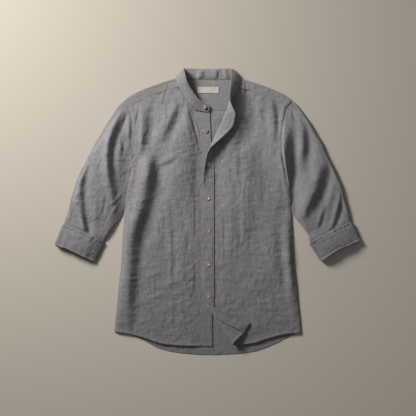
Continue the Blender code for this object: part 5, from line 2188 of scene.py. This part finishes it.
def sew(finish: Material, pieces: dict[str, Cloth]) -> None:
    """Sews the visible lines of stitches on every piece of cloth.

    Args:
        finish: The thread's material.
        pieces: The pieces of cloth, by node.
    """
    for name, nodes in STITCHED.items():
        threads = Stitching(name)
        for line in [line for node in nodes for line in pieces[node].seams()]:
            threads.run(*line)
        for hole in [hole for node in nodes for hole in pieces[node].buttonholes()]:
            threads.buttonhole(*hole)
        threads.build(finish)


# ---- Buttons and label ----


@dataclass
class Buttons:
    """Seven turned shell buttons with four holes, each sewn on with two strands of thread.

    The spread is how far the holes are from the middle each way, and a lean is a button's tilt in degrees.
    """

    radius: float = 5.75 * MM
    thickness: float = 2.1 * MM
    rim: float = 1.3 * MM
    dish: float = 0.6 * MM
    hole: float = 0.75 * MM
    spread: float = 1.25 * MM
    leans: tuple[float, ...] = (0, 0, 20, 0, 0, 0, 0)

    def blank(self) -> Object:
        """Turns one button on the origin, its back at height 0.

        Returns:
            The button's object.
        """
        deselect()
        size = {"radius": self.radius, "depth": self.thickness}
        bpy.ops.mesh.primitive_cylinder_add(vertices=64, location=(0, 0, self.thickness / 2), **size)
        button = bpy.context.object
        bpy.ops.object.mode_set(mode="EDIT")
        bpy.ops.mesh.select_all(action="DESELECT")
        mesh = bmesh.from_edit_mesh(button.data)
        top = max(mesh.faces, key=lambda face: face.calc_center_median().z)
        top.select_set(True)
        bmesh.update_edit_mesh(button.data)
        bpy.ops.mesh.inset(thickness=self.rim, depth=0)
        bpy.ops.mesh.inset(thickness=self.dish, depth=-self.dish)
        bpy.ops.mesh.inset(thickness=self.dish * 0.6, depth=-self.dish * 0.15)
        bpy.ops.mesh.select_all(action="DESELECT")
        mesh = bmesh.from_edit_mesh(button.data)
        for edge in mesh.edges:
            ends = [Vector((*corner.co.xy, 0)).length for corner in edge.verts]
            level = abs(edge.verts[0].co.z - edge.verts[1].co.z) < 1e-6
            edge.select_set(level and min(ends) > self.radius * 0.99)
        bmesh.update_edit_mesh(button.data)
        bpy.ops.mesh.bevel(offset=0.6 * MM, segments=4, affect="EDGES")
        bpy.ops.object.mode_set(mode="OBJECT")
        for x, y in ((-1, -1), (-1, 1), (1, -1), (1, 1)):
            self.bore(button, x * self.spread, y * self.spread)
        return button

    def bore(self, button: Object, x: float, y: float) -> None:
        """Bores one hole through the button.

        Args:
            button: The button.
            x, y: Where the hole goes.
        """
        deselect()
        bpy.ops.mesh.primitive_cylinder_add(vertices=20, radius=self.hole, depth=0.01, location=(x, y, 0))
        drill = bpy.context.object
        cut = button.modifiers.new("hole", "BOOLEAN")
        cut.operation, cut.solver, cut.object = "DIFFERENCE", "EXACT", drill
        deselect()
        bpy.context.view_layer.objects.active = button
        bpy.ops.object.modifier_apply(modifier=cut.name)
        bpy.data.objects.remove(drill, do_unlink=True)

    def build(self, finishes: Finishes) -> None:
        """Makes the buttons where the solids are, and their threads.

        Args:
            finishes: The materials of the shirt.
        """
        blank = self.blank()
        blank.data.transform(blank.matrix_world)
        blank.matrix_world = Matrix.Identity(4)
        threads = Stitching("button_threads", thickness=0.5 * MM)
        for number, lean in enumerate(self.leans, start=1):
            low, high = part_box(f"button_{number}")
            turned = Matrix.Rotation(math.radians(lean), 4, "Y")
            middle = (low + high) / 2 - (turned @ Vector((0, 0, self.thickness / 2)))
            place = Matrix.Translation(middle) @ turned @ Matrix.Rotation(0.6 + 1.1 * number, 4, "Z")
            mesh = blank.data.copy()
            mesh.transform(place)
            mesh.shade_smooth()
            mesh.set_sharp_from_angle(angle=math.radians(40))
            obj = bpy.data.objects.new(f"shell_button_{number}", mesh)
            bpy.context.collection.objects.link(obj)
            enter(obj, finishes.shell, Slot.SHELL, f"button_{number}")
            hole, face = self.spread, self.thickness - self.dish * 1.1
            ends = [place @ Vector((x * hole, y * hole, face)) for y in (-1, 1) for x in (-1, 1)]
            up = np.tile(np.array((place.to_3x3() @ Vector((0, 0, 1)))), (2, 1))
            threads.add(np.array([ends[0], ends[1]]), np.array([ends[2], ends[3]]), up)
        threads.build(finishes.thread, Slot.SHELL)
        bpy.data.objects.remove(blank, do_unlink=True)


@dataclass(kw_only=True)
class Label(Cloth):
    """Plain woven label inside the yoke, its two ends turned under and pressed down."""

    name: str = "woven_label"
    node: str = "label"
    rests_on: tuple[str, ...] = ("shoulder_yoke",)
    start: Pair = (21.1, 3.3)
    slot: Slot = Slot.TAPE
    wall: float = 0.5 * MM
    x: Pair = (-26 * MM, 31 * MM)
    y: Pair = (326 * MM, 342.5 * MM)
    level: float = 1.75 * MM
    turned: float = 5.0 * MM

    def lines(self) -> tuple[Array, Array]:
        """Columns across and rows up."""
        return np.meshgrid(np.linspace(*self.x, 70), np.linspace(*self.y, 22))

    def from_end(self, a: Array) -> Array:
        """Distance in from the nearer end."""
        return np.minimum(a - self.x[0], self.x[1] - a)

    def at(self, a: Array, b: Array) -> Array:
        """Finds places in space, a little wavy.

        Args:
            a, b: Places in plan.

        Returns:
            The places.
        """
        up = 0.2 * MM * noise(a, b, 19 * MM, 11 * MM, 77)
        up -= 0.15 * MM * groove(self.from_end(a) - self.turned / 2, 1 * MM)
        return joined(a, b, self.level + up)

    def walls(self, a: Array, b: Array) -> Array:
        """Tape, double at its ends."""
        single = ease(self.turned - 0.5 * MM, self.turned + 0.5 * MM, self.from_end(a))
        return self.wall * (1 + 0.6 * (1 - single))

    def pattern(self, a: Array, b: Array, points: Array) -> Array:
        """The tape as it lies, its threads along it."""
        return joined(b, a)


# ---- Studio ----


@dataclass
class Studio:
    """Pale floor, one big soft light from the upper left, a dim room, and a camera straight above."""

    floor: Plain = Plain("pale_floor", (0.49, 0.45, 0.385), 0.8)
    key_at: Place = (-1.62, 1.45, 1.2)
    key_size: float = 0.8
    key_spread: float = 108.0
    key_power: float = 31.0
    key_color: Color = (1.0, 0.975, 0.94)
    room: Color = (0.97, 0.97, 1.0)
    room_strength: float = 0.165
    camera_at: Place = (0.0017, 0.0102, 2.70)
    lens: float = 85.0

    def build(self) -> None:
        """Makes the floor, the lights and the camera."""
        deselect()
        bpy.ops.mesh.primitive_plane_add(size=30.0)
        ground = bpy.context.object
        ground.name = "floor"
        ground.data.materials.append(self.floor.material())
        deselect()
        bpy.ops.object.light_add(type="AREA", location=self.key_at)
        key = bpy.context.object
        key.name = "key_light"
        key.data.shape, key.data.size = "DISK", self.key_size
        key.data.energy, key.data.color = self.key_power, self.key_color
        key.data.spread = math.radians(self.key_spread)
        key.rotation_euler = (-Vector(self.key_at)).to_track_quat("-Z", "Y").to_euler()
        world = bpy.data.worlds.new("room")
        world.use_nodes = True
        light = world.node_tree.nodes["Background"]
        light.inputs["Color"].default_value = (*self.room, 1.0)
        light.inputs["Strength"].default_value = self.room_strength
        scene = bpy.context.scene
        scene.world = world
        scene.view_settings.view_transform = "Standard"
        deselect()
        bpy.ops.object.camera_add(location=self.camera_at, rotation=(0, 0, 0))
        camera = bpy.context.object
        camera.name = "overhead_camera"
        camera.data.lens = self.lens
        camera.data.dof.use_dof = False
        scene.camera = camera


# ---- The shirt ----


def clear_scene() -> None:
    """Removes whatever the scene holds."""
    for obj in list(bpy.data.objects):
        bpy.data.objects.remove(obj, do_unlink=True)


def cut_pieces() -> dict[str, Cloth]:
    """Cuts every piece of cloth but the label.

    Returns:
        The pieces, by node, in the order in which they are made.
    """
    corner = Corner()
    left = Front(
        name="left_front_panel", node="left_front", side=-1, neck=0.72, hem=LEFT_HEM, neck_edge=LEFT_NECK,
        seam=LEFT_PLACKET_SEAM, seam_level=3.0 * MM, folds=LEFT_FRONT_FOLDS, creases=LEFT_FRONT_CREASES,
        rises=(LEFT_NECK,), seed=0,
    )
    right = RightFront(
        name="right_front_panel", node="right_front", side=1, neck=0.8, hem=RIGHT_HEM, neck_edge=RIGHT_NECK,
        seam=RIGHT_PLACKET_SEAM, seam_level=3.75 * MM, folds=RIGHT_FRONT_FOLDS, creases=RIGHT_FRONT_CREASES,
        rises=(RIGHT_NECK, LAPEL_RISE), seed=100, corner=corner, chest=64.0 * MM,
    )
    at_left, at_right = {"side": -1, "thinning": 0.62}, {"side": 1, "thinning": 0.3}
    pieces = (
        left, right, Back(), Yoke(), ButtonPlacket(), ButtonholePlacket(corner=corner), Collar(),
        Sleeve(
            name="left_sleeve", node="sleeve_left", folds=LEFT_SLEEVE_FOLDS, seed=200, skew=0.6, **at_left
        ),
        Sleeve(
            name="right_sleeve", node="sleeve_right", folds=RIGHT_SLEEVE_FOLDS, seed=300, skew=2.2, **at_right
        ),
        Cuff(name="left_rolled_cuff", node="cuff_left", seed=400, **at_left),
        Cuff(name="right_rolled_cuff", node="cuff_right", seed=500, **at_right),
    )
    return {piece.node: piece for piece in pieces}


def main() -> None:
    """Builds the shirt and its studio."""
    logging.basicConfig(level=logging.INFO, format="%(message)s")
    clear_scene()
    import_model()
    finishes = Finishes.make()
    pieces = cut_pieces()
    for piece in pieces.values():
        piece.build(finishes.linen)
    sew(finishes.thread, pieces)
    Buttons().build(finishes)
    Label().build(finishes.tape)
    Studio().build()


if __name__ == "__main__":
    main()
